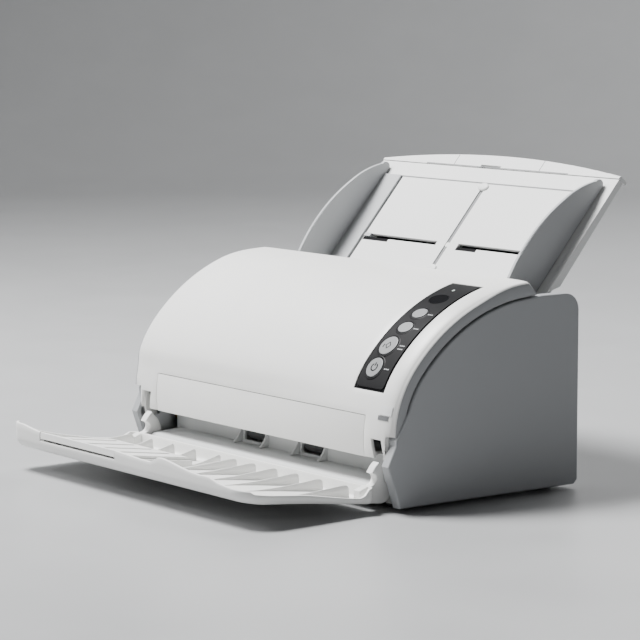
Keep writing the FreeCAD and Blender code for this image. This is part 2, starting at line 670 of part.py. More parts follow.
def drive_train(place):
    """Shafts, roller tyres and the gears between the right chassis plate and the right side panel."""
    inside, thick, low = cell("plate_inside"), cell("plate_thickness"), cell("gear_inside")
    spread, wide = cell("roller_spread"), cell("roller_width")
    radius = {"pick": "$pick_radius", "feed": "$feed_radius", "eject": "$eject_radius"}
    centres = {"pick": (-22, 22), "feed": (-spread, spread), "eject": (-spread, spread)}
    for name in ("pick", "feed", "eject"):
        y, z = place[name]
        end = low + cell("gear_width") + 0.8
        start = -inside - thick - 3.0
        finish(rod(name + "_rod", (start, y, z), "$shaft_radius", end - start), name + "_shaft")
        tyres = rings(name + "_tyres", y, z, radius[name], centres[name], wide, "$shaft_radius")
        finish(tyres, name + "_rollers")
    feed_phase = 0.0
    bore = cell("shaft_radius")
    gear("feed_gear", place["feed"], FEED_TEETH, feed_phase, low, bore)
    phase = mesh_phase(place["feed"], place["pick_idler"], FEED_TEETH, feed_phase, PICK_IDLER_TEETH)
    stud = 2.5
    gear("pick_idler_gear", place["pick_idler"], PICK_IDLER_TEETH, phase, low, stud + cell("running_gap"))
    phase = mesh_phase(place["pick_idler"], place["pick"], PICK_IDLER_TEETH, phase, PICK_TEETH)
    gear("pick_gear", place["pick"], PICK_TEETH, phase, low, bore)
    phase = mesh_phase(place["feed"], place["drive_idler"], FEED_TEETH, feed_phase, DRIVE_IDLER_TEETH)
    gear("drive_idler_gear", place["drive_idler"], DRIVE_IDLER_TEETH, phase, low, stud + cell("running_gap"))
    last = mesh_phase(place["drive_idler"], place["eject"], DRIVE_IDLER_TEETH, phase, EJECT_TEETH)
    gear("eject_gear", place["eject"], EJECT_TEETH, last, low, bore)
    last = mesh_phase(place["drive_idler"], place["pinion"], DRIVE_IDLER_TEETH, phase, PINION_TEETH)
    y, z = place["pinion"]
    gear("motor_pinion_wheel", place["pinion"], PINION_TEETH, last, low, 1.5)
    wheel = subparts.pop()
    wheel.Placement = Placement()
    axle = rod("motor_axle", (inside - 12, y, z), 1.5, low + cell("gear_width") + 0.6 - inside + 12)
    finish(fuse("pinion_whole", [wheel, axle]), "motor_pinion")
    studs = []
    start = inside + thick
    for name in ("pick_idler", "drive_idler"):
        y, z = place[name]
        studs.append(rod(name + "_stud", (start, y, z), stud, low + cell("gear_width") + 0.6 - start))
    finish(group("studs", studs), "idler_studs")


# ------------------------------------------------------------------ upper unit
SIDE_LIFT = 1.0       # the gap between the side panel's edge and the cover's side
BADGE_X, BADGE_HEIGHT = 140.3, 65.2
BRAKE_RADIUS, EJECT_PINCH_RADIUS = 9.0, 6.5
EAR_OUTSIDE = 142.4   # the outer face of the cover's hinge ears


def top_cover():
    """The white curved cover: a skin with round side edges, side walls, and openings for what it holds."""
    wall, half = cell("wall"), cell("cover_width") / 2
    step = cell("band_width") - SIDE_LIFT
    start = front_slope_at(50.0)
    low_side = (-78.6, 48.4)
    knee = front_slope_at(68.0, step)
    outline = ([low_side, (-81.2, 46.5)] + skin_run(0, start, TOP_SLOPE)
               + [(cell("lip_edge"), 135.0), (41.0, 133.2 + SIDE_LIFT), crown_arc(step, TOP_SLOPE)]
               + reverse_run(skin_run(step, knee, TOP_SLOPE))[1:])
    body = strip("cover_blank", outline, half)
    reach = half - 0.01
    round_edges(body, "$cover_round",
                lambda edge, p: abs(p.x) > reach and edge.Length > 20 and p.z > outside_height(p.y) - 0.05)
    inside = skin_run(wall, front_slope_at(50.0, wall), TOP_SLOPE + 1.5)
    hollow = [(-60.0, 20.0), (-81.5 + wall, 20.0)] + inside + [(36.5, 120.0), (36.5, 100.0)]
    inner = draw(sketch_on(body, "YZ_Plane", "cover_hollow"), hollow)
    pocket(body, inner, 2 * (half - wall), middle=True)
    apron = [(-79.8, 34.5), (-81.5, 50.0), (-81.5 + wall, 50.0), (-79.8 + wall, 34.5)]
    skirts = []
    hy, hz = cell("cover_pivot_y"), cell("cover_pivot_z")
    inner_edge = cell("bezel_width") / 2 + 0.3
    for side in (-1, 1):
        low = inner_edge if side > 0 else -EAR_OUTSIDE
        skirt = bar(f"cover_skirt_{side}", apron, low, EAR_OUTSIDE - inner_edge)
        notch = box(f"skirt_notch_{side}", (side * 133.5 - 5.2, -90, 30), (10.4, 30, 17.0))
        skirts.append(cut(f"cover_skirt_cut_{side}", skirt, [notch]))
        ear = [(hy - 3.9, hz - 1.0), ("arc", (hy, hz - 4.0)), (hy + 3.9, hz + 1.0), (hy + 2.0, hz + 8.0),
               ("arc", (hy - 2.2, hz + 17.0)), (-77.2, 50.0), (-80.6, 50.0), (-79.6, 34.5)]
        x = EAR_OUTSIDE - 2.6 if side > 0 else -EAR_OUTSIDE
        hole = rod(f"ear_bore_{side}", (x - 1, hy, hz), "$pin_radius + $running_gap", 5)
        skirts.append(cut(f"cover_ear_{side}", bar(f"cover_ear_blank_{side}", ear, x, 2.6), [hole]))
    blank = fuse("cover_with_skirts", [body] + skirts)
    tools = [box("bezel_opening", (-inner_edge, -95, 20), (2 * inner_edge, 30, cell("bezel_top") - 19.6))]
    low, high = PANEL_SLOPES
    seat = bar("panel_seat", band(-5.0, cell("panel_thickness") - 0.3, low, high),
               cell("panel_left") - 0.25, "$panel_right - $panel_left + 0.5")
    tools.append(seat)
    tools += [key_hole(name, "cover") for name in KEYS]
    slope = front_slope_at(BADGE_HEIGHT)
    y, z = front_arc(0, slope)
    tools.append(box("badge_seat", (BADGE_X - 5.4, -3.6, -0.5), (10.8, 7.2, 6), tilted(y, z, slope)))
    finish(cut("cover_whole", blank, tools), "top_cover")


def outside_height(y):
    """The height of the cover's outer curve above a place along the body."""
    join = crown_arc(0, JOIN_SLOPE)[0]
    if y > join:
        reach = cell("crown_radius") ** 2 - (y - cell("crown_centre_y")) ** 2
        return cell("crown_centre_z") + math.sqrt(max(reach, 0))
    reach = cell("front_radius") ** 2 - (y - cell("front_centre_y")) ** 2
    return cell("front_centre_z") + math.sqrt(max(reach, 0))


def front_bezel():
    """The lower front panel of the upper unit, with the return that forms the exit's upper lip."""
    wall = cell("wall")
    top = front_arc(0, front_slope_at(cell("bezel_top")))
    top_in = front_arc(wall, front_slope_at(cell("bezel_top") + 0.4, wall))
    outline = [(-79.8, 34.5), (-81.5, 50.0), ("arc", front_arc(0, front_slope_at((50 + top[1]) / 2))), top,
               top_in, ("arc", front_arc(wall, front_slope_at(56.0, wall))), (-81.4 + wall, 50.0),
               (-77.6, 37.0), (-63.5, 36.2), (-63.5, 34.4), (-79.0, 34.0)]
    finish(strip("front_bezel", outline, cell("bezel_width") / 2), "front_bezel")


def upper_guide():
    """The upper paper guide: the cover's inner face, from behind the rear lip down to the exit."""
    wall, gap = cell("wall"), cell("guide_gap")
    half = cell("guide_width") / 2 - 0.8
    top_slope = 46.0
    edge = cell("exit_edge") - 4.0
    entry = on_path(top_slope, gap)
    run = path_run(gap, edge, top_slope)
    back = path_run(gap + wall, edge, top_slope)
    behind = [(entry[0] + 1.5, entry[1] + 6), (38.4, 131.6), (36.0, 131.6), (entry[0] - 1.0, entry[1] + 7)]
    outline = run + behind + reverse_run(back)
    sheet = strip("upper_guide_sheet", outline, half)
    spread, wide = cell("roller_spread"), cell("roller_width") + 3.0
    tools = roller_windows([(FEED_SLOPE, (-spread, spread), wide, 21.0)], 22.0)
    y, z = over_path(PICK_SLOPE, BRAKE_RADIUS)
    tools.append(box("brake_window", (-21.5, y - 10.5, z - 19), (43, 23, 31)))
    y, z = over_path(path_slope_at(EJECT_Y), EJECT_PINCH_RADIUS)
    for k, x in enumerate((-spread, spread)):
        tools.append(box(f"eject_window_{k}", (x - wide / 2, y - 8, z - 11), (wide, 16, 16)))
    y, z = on_path(path_slope_at(SCAN_HIGH_Y), gap)
    corner = (-cell("glass_length") / 2 - 0.5, y - 6.6, z - 8)
    tools.append(box("upper_glass_opening", corner, ("$glass_length + 1", 13.2, 16)))
    ends = []
    for side in (-1, 1):
        frame = tilted(-50, 39.6, 33.0, side * (half - 1.25) - 1.25)
        ends.append(box(f"upper_end_{side}", (0, 0, 0), (2.5, 60, 8), frame))
    finish(cut("upper_guide_whole", fuse("upper_guide_ends", [sheet] + ends), tools), "upper_guide")


def pinch_rollers():
    """The idle rollers of the upper unit: brake roller, feed pinch and exit pinch."""
    spread, wide = cell("roller_spread"), cell("roller_width")
    y, z = over_path(PICK_SLOPE, BRAKE_RADIUS)
    barrel = rod("brake_barrel", (-12, y, z), BRAKE_RADIUS, 24)
    stub = rod("brake_stub", (-20, y, z), 2.5, 40)
    finish(fuse("brake_whole", [barrel, stub]), "brake_roller")
    y, z = over_path(FEED_SLOPE, cell("pinch_radius"))
    finish(rod("feed_pinch_rod", (-70, y, z), 2.0, 140), "feed_pinch_shaft")
    finish(rings("feed_pinch", y, z, "$pinch_radius", (-spread, spread), wide - 2, 2.0), "feed_pinch_rollers")
    y, z = over_path(path_slope_at(EJECT_Y), EJECT_PINCH_RADIUS)
    items = [rod("eject_pinch_rod", (-70, y, z), 1.8, 140)]
    items += [rod(f"eject_pinch_{k}", (x - wide / 2 + 1, y, z), EJECT_PINCH_RADIUS, wide - 2)
              for k, x in enumerate((-spread, spread))]
    finish(fuse("eject_pinch_whole", items), "eject_pinch_roller")


# the keys of the control panel: height of the centre, half width across, half length along the slope, rise
KEYS = {
    "power": (90.5, 7.2, 7.2, 0.9),
    "scan": (103.8, 7.6, 7.6, 0.9),
    "send": (115.0, 6.4, 4.9, 0.8),
    "function": (123.3, 6.4, 4.9, 0.8),
    "window": (131.7, 8.2, 5.6, 0.15),
    "light": (136.6, 1.2, 1.2, 0.3),
}
PANEL_SLOPES = (64.8, 14.4)
KEY_X = 116.2


def slope_at_height(height):
    """The slope of the cover's outer curve at a height."""
    join = front_arc(0, JOIN_SLOPE)[1]
    if height < join:
        return front_slope_at(height)
    return math.degrees(math.acos((height - cell("crown_centre_z")) / cell("crown_radius")))


def key_frame(name):
    """A frame on the control panel at a key's centre: x across, y up the slope, z out."""
    height = KEYS[name][0]
    slope = slope_at_height(height)
    y, z = skin_point(0, slope)
    x = KEY_X - 1.5 if name in ("power", "scan") else KEY_X
    return tilted(y, z, slope, x)


def oval(wide, tall, low, high):
    """A straight solid of oval section along Z."""
    wire = Part.Wire(Part.Ellipse(Vector(0, 0, low), max(wide, tall), min(wide, tall)).toShape())
    if wide < tall:
        curve = Part.Ellipse(Vector(0, tall, low), Vector(wide, 0, low), Vector(0, 0, low))
        wire = Part.Wire(curve.toShape())
    return Part.Face(wire).extrude(Vector(0, 0, high - low))


def key_hole(name, owner):
    """The straight hole for a key, through the panel or the cover under it."""
    _, wide, tall, _ = KEYS[name]
    clear = cell("key_gap") if owner == "panel" else cell("key_gap") + 0.4
    item = doc.addObject("Part::Feature", f"{owner}_hole_{name}")
    item.Shape = oval(wide + clear, tall + clear, -8.0, 6.0)
    item.Placement = key_frame(name)
    return item


def control_panel():
    """The dark panel let into the cover, its four keys, the display window and the light."""
    low, high = PANEL_SLOPES
    plate = bar("panel_plate", band(-0.25, cell("panel_thickness") - 0.4, low, high),
                cell("panel_left"), "$panel_right - $panel_left")
    round_edges(plate, 3.0, lambda edge, p: edge.Length < 2.0)
    finish(cut("panel_whole", plate, [key_hole(name, "panel") for name in KEYS]), "control_panel")
    for name in ("power", "scan", "send", "function"):
        _, wide, tall, rise = KEYS[name]
        cap = oval(wide, tall, -1.6, rise)
        rim = [e for e in cap.Edges if e.BoundBox.ZMin > rise - 1e-6]
        cap = cap.makeFillet(0.5, rim)
        stem = Part.makeCylinder(2.0, 4.0, Vector(0, 0, -5.5))
        solid(name + "_button", cap.fuse(stem), key_frame(name))
    for name, label in (("window", "display_window"), ("light", "status_light")):
        _, wide, tall, rise = KEYS[name]
        lens = oval(wide, tall, -2.2, rise)
        solid(label, lens, key_frame(name))


def badge():
    """A blank badge plate let into the cover's lower right corner."""
    slope = front_slope_at(BADGE_HEIGHT)
    y, z = front_arc(0, slope)
    plate = box("badge_sheet", (BADGE_X - 5.2, -3.4, -0.4), (10.4, 6.8, 0.9), tilted(y, z, slope))
    finish(plate, "badge_plate")


# ------------------------------------------------------------------ output tray
ARM_INSIDE = 129.0    # the inner face of the tray's hinge arms


def tray_floor(y):
    """The tray's underside at a place: a shallow curve that rises to the front."""
    t = (-86.0 - y) / 102.0
    return 5.6 + 14.0 * t - 3.0 * t * t


def tray():
    """The folding output tray: floor, unequal side walls, waved front wall, paper fins and hinge arms."""
    wall, half, front = cell("tray_wall"), cell("tray_width") / 2, cell("tray_front")
    py, pz = cell("tray_pivot_y"), cell("tray_pivot_z")
    rear, mid = -86.6, -137.0
    floor = [(rear, tray_floor(rear)), ("arc", (mid, tray_floor(mid))), (front, tray_floor(front)),
             (front, tray_floor(front) + wall), ("arc", (mid, tray_floor(mid) + wall)),
             (rear, tray_floor(rear) + wall)]
    items = [strip("tray_sheet", floor, half)]
    side = [(y, tray_floor(y) + 1) for y in (front, mid, rear)] + [(rear, 17.4)]
    left_rim = side + [(-96, 17.8), ("arc", (-145, 22.6)), (front, 31.0)]
    right_rim = side + [(-98, 13.6), ("arc", (-145, 19.2)), (front, 24.5)]
    items.append(bar("tray_left_wall", left_rim, -half, "$tray_wall"))
    items.append(bar("tray_right_wall", right_rim, half - wall, "$tray_wall"))
    low = tray_floor(front) + 0.5
    slip, wide = cell("slip_left"), cell("slip_width")
    face = [(-half, low), (half, low), (half, 24.5), ("arc", (112, 25.6)), (88, 28.8), ("arc", (62, 31.6)),
            (42, 33.6), ("arc", (36, 33.4)), (30, 30.9), (slip + wide + 0.4, 30.9), (slip + wide + 0.4, 25.9),
            (slip - 0.4, 25.9), (slip - 0.4, 30.9), (-110, 31.0), ("arc", (-128, 31.6)), (-half, 33.0)]
    items.append(bar("tray_front_wall", face, -front - wall, wall, role="XZ_Plane"))
    lip = [(rear, tray_floor(rear) + 1), (rear, 17.4), (rear - 1.8, 17.9), (rear - 3.2, 17.0),
           (-92.4, tray_floor(-92) + 1)]
    items.append(strip("tray_rear_lip", lip, half))
    thin = cell("fin_thickness")
    for k, x in enumerate((-125, -97, -71, -47, -22, 0, 22, 47, 71, 97, 125)):
        end = -127.0 if slip - 4 < x < slip + wide + 4 else -158.0
        waist = (end - 103.5) / 2
        fin = [(-104.5, tray_floor(-104) + 1), (-103.5, 20.6), ("arc", (waist, tray_floor(waist) + 5.2)),
               (end, tray_floor(end) + 2)]
        items.append(bar(f"tray_fin_{k}", fin, x - thin / 2, "$fin_thickness"))
    for k, x in enumerate((slip - 2.4, slip + wide - 1.6)):
        rail = [(front + 1, 25.8), (-126.5, 17.7), (-126.5, tray_floor(-126) + 1),
                (front + 1, tray_floor(front) + 1)]
        items.append(bar(f"tray_rail_{k}", rail, x, 4.0))
    whole = fuse("tray_items", items)
    plan = new_body("tray_plan")
    corner = cell("tray_corner")
    soft = corner * (1 - math.sin(math.pi / 4))
    sketch = sketch_on(plan, "XY_Plane", "tray_plan_outline")
    draw(sketch, [(-half, -80), (-half, front + corner), ("arc", (-half + soft, front + soft)),
                  (-half + corner, front), (half - corner, front), ("arc", (half - soft, front + soft)),
                  (half, front + corner), (half, -80)])
    pad(plan, sketch, 60)
    trimmed = doc.addObject("Part::Common", "tray_trimmed")
    trimmed.Base, trimmed.Tool = whole, plan
    arms = []
    for k, x in enumerate((-ARM_INSIDE - 6.4, ARM_INSIDE)):
        arm = [(-95.5, tray_floor(-95)), (-85.0, tray_floor(-86)), ("arc", (-75.5, 6.6)), (-70.8, 13.5),
               (-72.2, 20.0), (-80.2, 32.0), (-85.9, 25.5), (-81.8, 23.8), (-86.6, 17.2), (-95.0, 17.6)]
        hole = rod(f"arm_bore_{k}", (x - 1, py, pz), "$pin_radius", 9)
        arms.append(cut(f"tray_arm_{k}", bar(f"tray_arm_blank_{k}", arm, x, 6.4), [hole]))
    finish(fuse("tray_whole", [trimmed] + arms), "stacker_tray")
    start = APRON_END - 8.5
    long = ARM_INSIDE + 6.4 - start
    ends = ((-1, -start - long), (1, start))
    pins = [rod(f"tray_pin_{side}", (low, py, pz), "$pin_radius", long) for side, low in ends]
    finish(group("tray_pins", pins), "stacker_pins")


SLIP_RISE = 7.6       # degrees that the extension's slide rises towards the front


def tray_extension():
    """The pull-out extension: a plate between the tray's rails with a finger edge in the front wall."""
    left, wide, long, thick = (cell(n) for n in ("slip_left", "slip_width", "slip_length", "slip_thickness"))
    y, z = cell("tray_front"), 26.3
    frame = tilted(y, z, -SLIP_RISE)
    plate = box("slip_plate", (left, 0, 0), ("$slip_width", "$slip_length", "$slip_thickness"), frame)
    edge = box("slip_edge", (left, 0, 0), ("$slip_width", "$tray_wall", 4.6), frame)
    ribs = [box(f"slip_rib_{k}", (left + 12 + 22 * k, 2, 1), (2.0, long - 8, 1.6), frame) for k in range(4)]
    finish(fuse("slip_whole", [plate, edge] + ribs), "stacker_extension")


# ------------------------------------------------------------------ paper chute
def chute_plate():
    """The chute's paper plate: a skin with rims behind, guide slots, a middle groove and a cross ridge."""
    half, foot, top, skin = (cell(n) for n in ("chute_width", "chute_foot", "chute_top", "chute_skin"))
    half /= 2
    body = new_body("plate_sheet")
    outline = [(-half + 2, foot), (half - 2, foot), (half, foot + 2), (half, top), (-half, top),
               (-half, foot + 2)]
    pad(body, draw(sketch_on(body, "XY_Plane", "plate_outline", -skin), outline), "$chute_skin")
    slots = sketch_on(body, "XY_Plane", "guide_slots", 1.0)
    y, tall = cell("slot_y"), cell("slot_height")
    for side in (-1, 1):
        a, b = sorted((side * cell("slot_inner"), side * cell("slot_outer")))
        draw(slots, [(a, y - tall / 2), (b, y - tall / 2), (b, y + tall / 2), (a, y + tall / 2)])
    pocket(body, slots, 10)
    groove = sketch_on(body, "XY_Plane", "middle_groove", 0.0)
    draw(groove, [(-2, -36), (2, -36), (2, 37), (-2, 37)])
    for side in (-1, 1):
        low, high = side * 96 - 0.6, side * 96 + 0.6
        draw(groove, [(low, -70), (high, -70), (high, 42), (low, 42)])
    pocket(body, groove, 0.9)
    ridge = box("plate_ridge", (-100, 41.6, -0.5), (200, 2.2, 0.75))
    rims = []
    for side in (-1, 1):
        low = -half if side < 0 else half - 2
        depth = cell("chute_rim")
        rim = [(-40.0, -skin), (-34.0, -depth), (top, -depth + 1.5), (top, -skin + 0.2), (-40.0, -skin + 0.2)]
        rims.append(bar(f"plate_rim_{side}", rim, low, 2.0))
        tongue = [(-94.0, -3.0), (-74.0, -3.0), (-74.0, -skin + 0.1), (-60.0, -skin + 0.1), (-60.0, -4.9),
                  (-92.0, -4.9)]
        rims.append(bar(f"plate_tongue_{side}", tongue, -124.0 if side < 0 else 104.0, 20.0))
        rims.append(box(f"plate_pad_{side}", (side * 115 - 4, -46, -4.8), (8, 8, 3)))
    stud = rod("pinion_stud", (0, cell("slot_y"), -5.4), 2.0, 5.0, axis=(0, 0, 1))
    whole = fuse("plate_whole", [body, ridge, stud] + rims)
    finish(whole, "chute_plate", on_chute())


def chute_back():
    """The back cover of the chute, which houses the racks, the pinion and the extension."""
    skin, back = cell("chute_skin"), cell("chute_back")
    low, high, half = -31.0, 50.0, 106.0
    shell = box("back_block", (-half, low, -back), (2 * half, high - low, back - skin - 0.02))
    room = box("back_room", (-half + 1.6, low + 1.6, -back + 1.6), (2 * half - 3.2, high - low + 5, back))
    finish(cut("back_whole", shell, [room]), "chute_back_cover", on_chute())


def chute_extension():
    """The pull-up extension: a plate behind the chute and the arched head that closes its top."""
    half, top, rise = cell("chute_width") / 2, cell("chute_top"), cell("arch_rise")
    plate = box("extension_plate", (-96, -24, -7.5), (192, top + 30, 1.7))
    head = new_body("extension_head")
    low = top + 0.5
    outline = [(-half, low), (half, low), (half, low + 2.6), ("arc", (0, low + rise)), (-half, low + 2.6)]
    pad(head, draw(sketch_on(head, "XY_Plane", "head_outline", -7.6), outline), 8.2)
    round_edges(head, 1.6, lambda edge, p: p.y > low + 4 and abs(p.z) < 7.7 and edge.Length > 100)
    notch = box("extension_notch", (-17, low - 1, -2.5), (22, 3.4, 4))
    body = cut("extension_cut", head, [notch])
    finish(fuse("extension_whole", [body, plate]), "chute_extension", on_chute())


def guide_outline():
    """A side guide's blade in the chute's frame, as distance up the slope and height off it."""
    return [(-48.5, 0.45), (-61.8, 13.4), (-52.0, 26.2), ("arc", (-16.0, 28.8)), (18.0, 22.2),
            ("arc", (36.0, 14.6)), (46.0, 7.6), ("arc", (49.4, 3.8)), (46.6, 0.45)]


def side_guides():
    """The two sliding paper guides: a tall blade on a flat foot, with a bracket through the slot."""
    wall, foot, slip = cell("guide_wall"), cell("guide_foot"), cell("guide_slip")
    blade_x, skin, y = cell("fin_x"), cell("chute_skin"), cell("slot_y")
    for label, side in (("left", -1), ("right", 1)):
        low = side * blade_x - wall / 2
        blade = bar(label + "_blade", guide_outline(), low, "$guide_wall")
        round_edges(blade, 0.8, lambda edge, p: edge.Length > 30 and p.z > 2)
        x = side * (blade_x - wall / 2) - (foot if side > 0 else 0)
        sole = box(label + "_sole", (x, -47, slip), (foot, 88, 1.3))
        x = side * 91 - 3.5
        bracket = box(label + "_bracket", (x, y - 1.4, -5.4), (7, 2.8, 6.6))
        finish(fuse(label + "_guide_whole", [blade, sole, bracket]), label + "_side_guide", on_chute())


def racks():
    """Two racks behind the plate and the pinion between them, which keeps the guides in step."""
    y, long, tall, thick = cell("slot_y"), cell("rack_length"), cell("rack_height"), cell("rack_thickness")
    m, teeth = cell("gear_module"), int(cell("pinion_teeth"))
    pitch = m * teeth / 2
    low = -cell("chute_skin") - 0.5 - thick
    step = math.pi * m
    for label, side in (("left", -1), ("right", 1)):
        up = -side                      # the left rack runs above the pinion, the right one below
        start = -98.0 if side < 0 else 98.0 - long
        line = y + up * pitch
        spine = line + (1.1 * m if up > 0 else -1.1 * m - tall)
        shape = Part.makeBox(long, tall, thick, Vector(start, spine, low))
        first = math.ceil((start + 2) / step)
        last = math.floor((start + long - 2) / step)
        for n in range(first, last + 1):
            # with an odd count the pinion has a tooth at x = 0 above and a gap at x = 0 below
            x = step * (n + 0.5) if up > 0 else step * n
            if not start + 1.5 < x < start + long - 1.5:
                continue
            wide, narrow = 1.02 * m, 0.42 * m
            foot, tip = line + up * 1.15 * m, line - up * 0.8 * m
            corners = [(x - wide, foot), (x - narrow, tip), (x + narrow, tip), (x + wide, foot)]
            face = Part.Face(Part.makePolygon([Vector(a, b, low) for a, b in corners + corners[:1]]))
            shape = shape.fuse(face.extrude(Vector(0, 0, thick)))
        arm_low, arm_high = sorted((y - 1.4 * up, line + up * 2.0 * m))
        arm = Part.makeBox(7, arm_high - arm_low, thick, Vector(side * 91 - 3.5, arm_low, low))
        bracket = Part.makeBox(7.4, 3.2, 12, Vector(side * 91 - 3.7, y - 1.6, low - 4))
        shape = shape.fuse(arm).cut(bracket).removeSplitter()
        solid(label + "_rack", shape, on_chute())
    points = [Vector(a, y + b, low) for a, b in gear_outline(teeth, 90.0)]
    wheel = Part.Face(Part.makePolygon(points + points[:1])).extrude(Vector(0, 0, thick))
    wheel = wheel.cut(Part.makeCylinder(2.05, 20, Vector(0, y, low - 5)))
    solid("sync_pinion", wheel, on_chute())


def groove_caps():
    """Two small round caps at the ends of the middle groove."""
    caps = []
    for k, y in enumerate((-33.0, 34.0)):
        disc = rod(f"cap_disc_{k}", (0, y, -0.85), 3.6, 1.9, axis=(0, 0, 1))
        rim = rod(f"cap_stem_{k}", (0, y, -0.85), 1.9, 0.4, axis=(0, 0, 1))
        seat = box(f"cap_trim_{k}", (-8, y - 8, -3), (16, 16, 3.05))
        caps.append(fuse(f"cap_{k}", [cut(f"cap_top_{k}", disc, [seat]), rim]))
    finish(group("caps", caps), "groove_caps", on_chute())


# ------------------------------------------------------------------ build and write
def build():
    fill_sheet()
    place = shaft_places()
    side_panels()
    base_pan()
    rear_cover()
    lower_guide()
    exit_apron()
    chassis_plates(place)
    shaft_bushes(place)
    scan_line("lower", SCAN_LOW_Y, -1)
    electronics(place)
    feet_and_screws()
    drive_train(place)
    top_cover()
    front_bezel()
    upper_guide()
    scan_line("upper", SCAN_HIGH_Y, 1)
    pinch_rollers()
    control_panel()
    badge()
    tray()
    tray_extension()
    chute_plate()
    chute_back()
    chute_extension()
    side_guides()
    racks()
    groove_caps()
    doc.recompute()


def write():
    """Checks every object and sub-part, then writes one STEP file for each sub-part."""
    for item in doc.Objects:
        bad = [state for state in item.State if state in ("Invalid", "Error")]
        if bad:
            raise RuntimeError(f"{item.Name} ({item.Label}) is {bad}")
    os.makedirs(OUT, exist_ok=True)
    for old in os.listdir(OUT):
        os.remove(os.path.join(OUT, old))
    for item in subparts:
        shape = item.Shape
        if shape.isNull() or not shape.isValid() or not shape.Solids:
            raise RuntimeError(f"{item.Label} has no valid solid")
        shape.exportStep(os.path.join(OUT, item.Label + ".step"))


build()
write()
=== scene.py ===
"""Looks of the sheet fed document scanner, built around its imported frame. Metres, +Z up, -Y to the front."""
import json
import math

import bmesh
import bpy
import numpy as np
from mathutils import Matrix, Vector


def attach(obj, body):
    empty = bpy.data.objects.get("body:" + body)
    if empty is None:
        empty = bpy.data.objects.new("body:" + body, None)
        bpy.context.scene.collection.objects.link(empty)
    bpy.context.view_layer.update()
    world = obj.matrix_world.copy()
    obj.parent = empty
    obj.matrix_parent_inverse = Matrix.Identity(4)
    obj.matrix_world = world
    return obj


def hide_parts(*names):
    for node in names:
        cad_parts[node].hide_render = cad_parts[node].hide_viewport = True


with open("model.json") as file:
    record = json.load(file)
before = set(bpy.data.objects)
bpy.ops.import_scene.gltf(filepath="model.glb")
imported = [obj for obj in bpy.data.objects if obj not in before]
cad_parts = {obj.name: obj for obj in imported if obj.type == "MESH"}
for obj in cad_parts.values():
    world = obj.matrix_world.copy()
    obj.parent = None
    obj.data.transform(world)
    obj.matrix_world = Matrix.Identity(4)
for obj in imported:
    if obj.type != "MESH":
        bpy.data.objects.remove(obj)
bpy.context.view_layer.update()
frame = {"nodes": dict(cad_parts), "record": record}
NODES = frame["nodes"]

MM = 0.001
SHIFT_Y = 20.97        # from the body's own drawing frame to the row frame, in mm


# ------------------------------------------------------------------ camera and light
CAMERA = {"azimuth": 53.0, "elevation": 7.0, "lens": 153.99, "sensor": 36.0}     # degrees and mm
CAMERA_AWAY = 1915.7                                   # mm from the point it looks at
CAMERA_AIM, AIM_SIDE, AIM_RISE = (0, SHIFT_Y, 75), -20.5, 30.3
LAMPS = (("key_lamp", (-0.72, -0.42, 1.72), (0, 0, 0.08), (0.75, 0.6), 108),
         ("back_lamp", (-0.5, 1.4, 1.2), (0, 0.05, 0.1), (1.4, 0.6), 18),
         ("front_lamp", (-1.2, -1.2, 1.25), (0, 0, 0.09), (0.5, 0.4), 16),
         ("backdrop_lamp", (-0.4, 1.9, 1.5), (-1.6, 3.6, 0.7), (1.2, 0.6), 40))
ROOM_COLOUR, ROOM_STRENGTH = (0.62, 0.64, 0.66, 1), 0.025


def place_camera():
    """A long lens at the right of the front, low, aimed a little left of and above the body's middle."""
    azimuth, elevation = math.radians(CAMERA["azimuth"]), math.radians(CAMERA["elevation"])
    flat = math.cos(elevation)
    back = Vector((math.sin(azimuth) * flat, -math.cos(azimuth) * flat, math.sin(elevation)))
    right = (-back).cross(Vector((0, 0, 1))).normalized()
    up = right.cross(-back)
    target = Vector(CAMERA_AIM) + right * AIM_SIDE + up * AIM_RISE
    place = (target + back * CAMERA_AWAY) * MM
    lens = bpy.data.cameras.new("camera")
    lens.sensor_width = CAMERA["sensor"]
    lens.lens = CAMERA["lens"]
    lens.clip_start, lens.clip_end = 0.05, 30
    camera = bpy.data.objects.new("camera", lens)
    camera.matrix_world = Matrix.Translation(place) @ Matrix((right, up, back)).transposed().to_4x4()
    bpy.context.scene.collection.objects.link(camera)
    bpy.context.scene.camera = camera


def area_light(name, place, aim, size, power):
    """A soft rectangular lamp at a place, turned to face a point."""
    data = bpy.data.lights.new(name, "AREA")
    data.shape, data.size, data.size_y = "RECTANGLE", size[0], size[1]
    data.energy = power
    lamp = bpy.data.objects.new(name, data)
    way = Vector(aim) - Vector(place)
    lamp.matrix_world = Matrix.Translation(place) @ way.to_track_quat("-Z", "Y").to_matrix().to_4x4()
    bpy.context.scene.collection.objects.link(lamp)


def light_the_table():
    """A large lamp high over the front left, two weaker ones, one for the backdrop, and a dim grey room."""
    for lamp in LAMPS:
        area_light(*lamp)
    world = bpy.data.worlds.new("room")
    world.use_nodes = True
    world.node_tree.nodes["Background"].inputs["Color"].default_value = ROOM_COLOUR
    world.node_tree.nodes["Background"].inputs["Strength"].default_value = ROOM_STRENGTH
    bpy.context.scene.world = world


# ------------------------------------------------------------------ materials
def new_material(name):
    """A material with its node tree and its shader."""
    made = bpy.data.materials.new(name)
    made.use_nodes = True
    tree = made.node_tree
    return made, tree, tree.nodes["Principled BSDF"]


def add_node(tree, kind, **values):
    """A node with its inputs set by name."""
    node = tree.nodes.new(kind)
    for key, value in values.items():
        node.inputs[key.replace("_", " ")].default_value = value
    return node


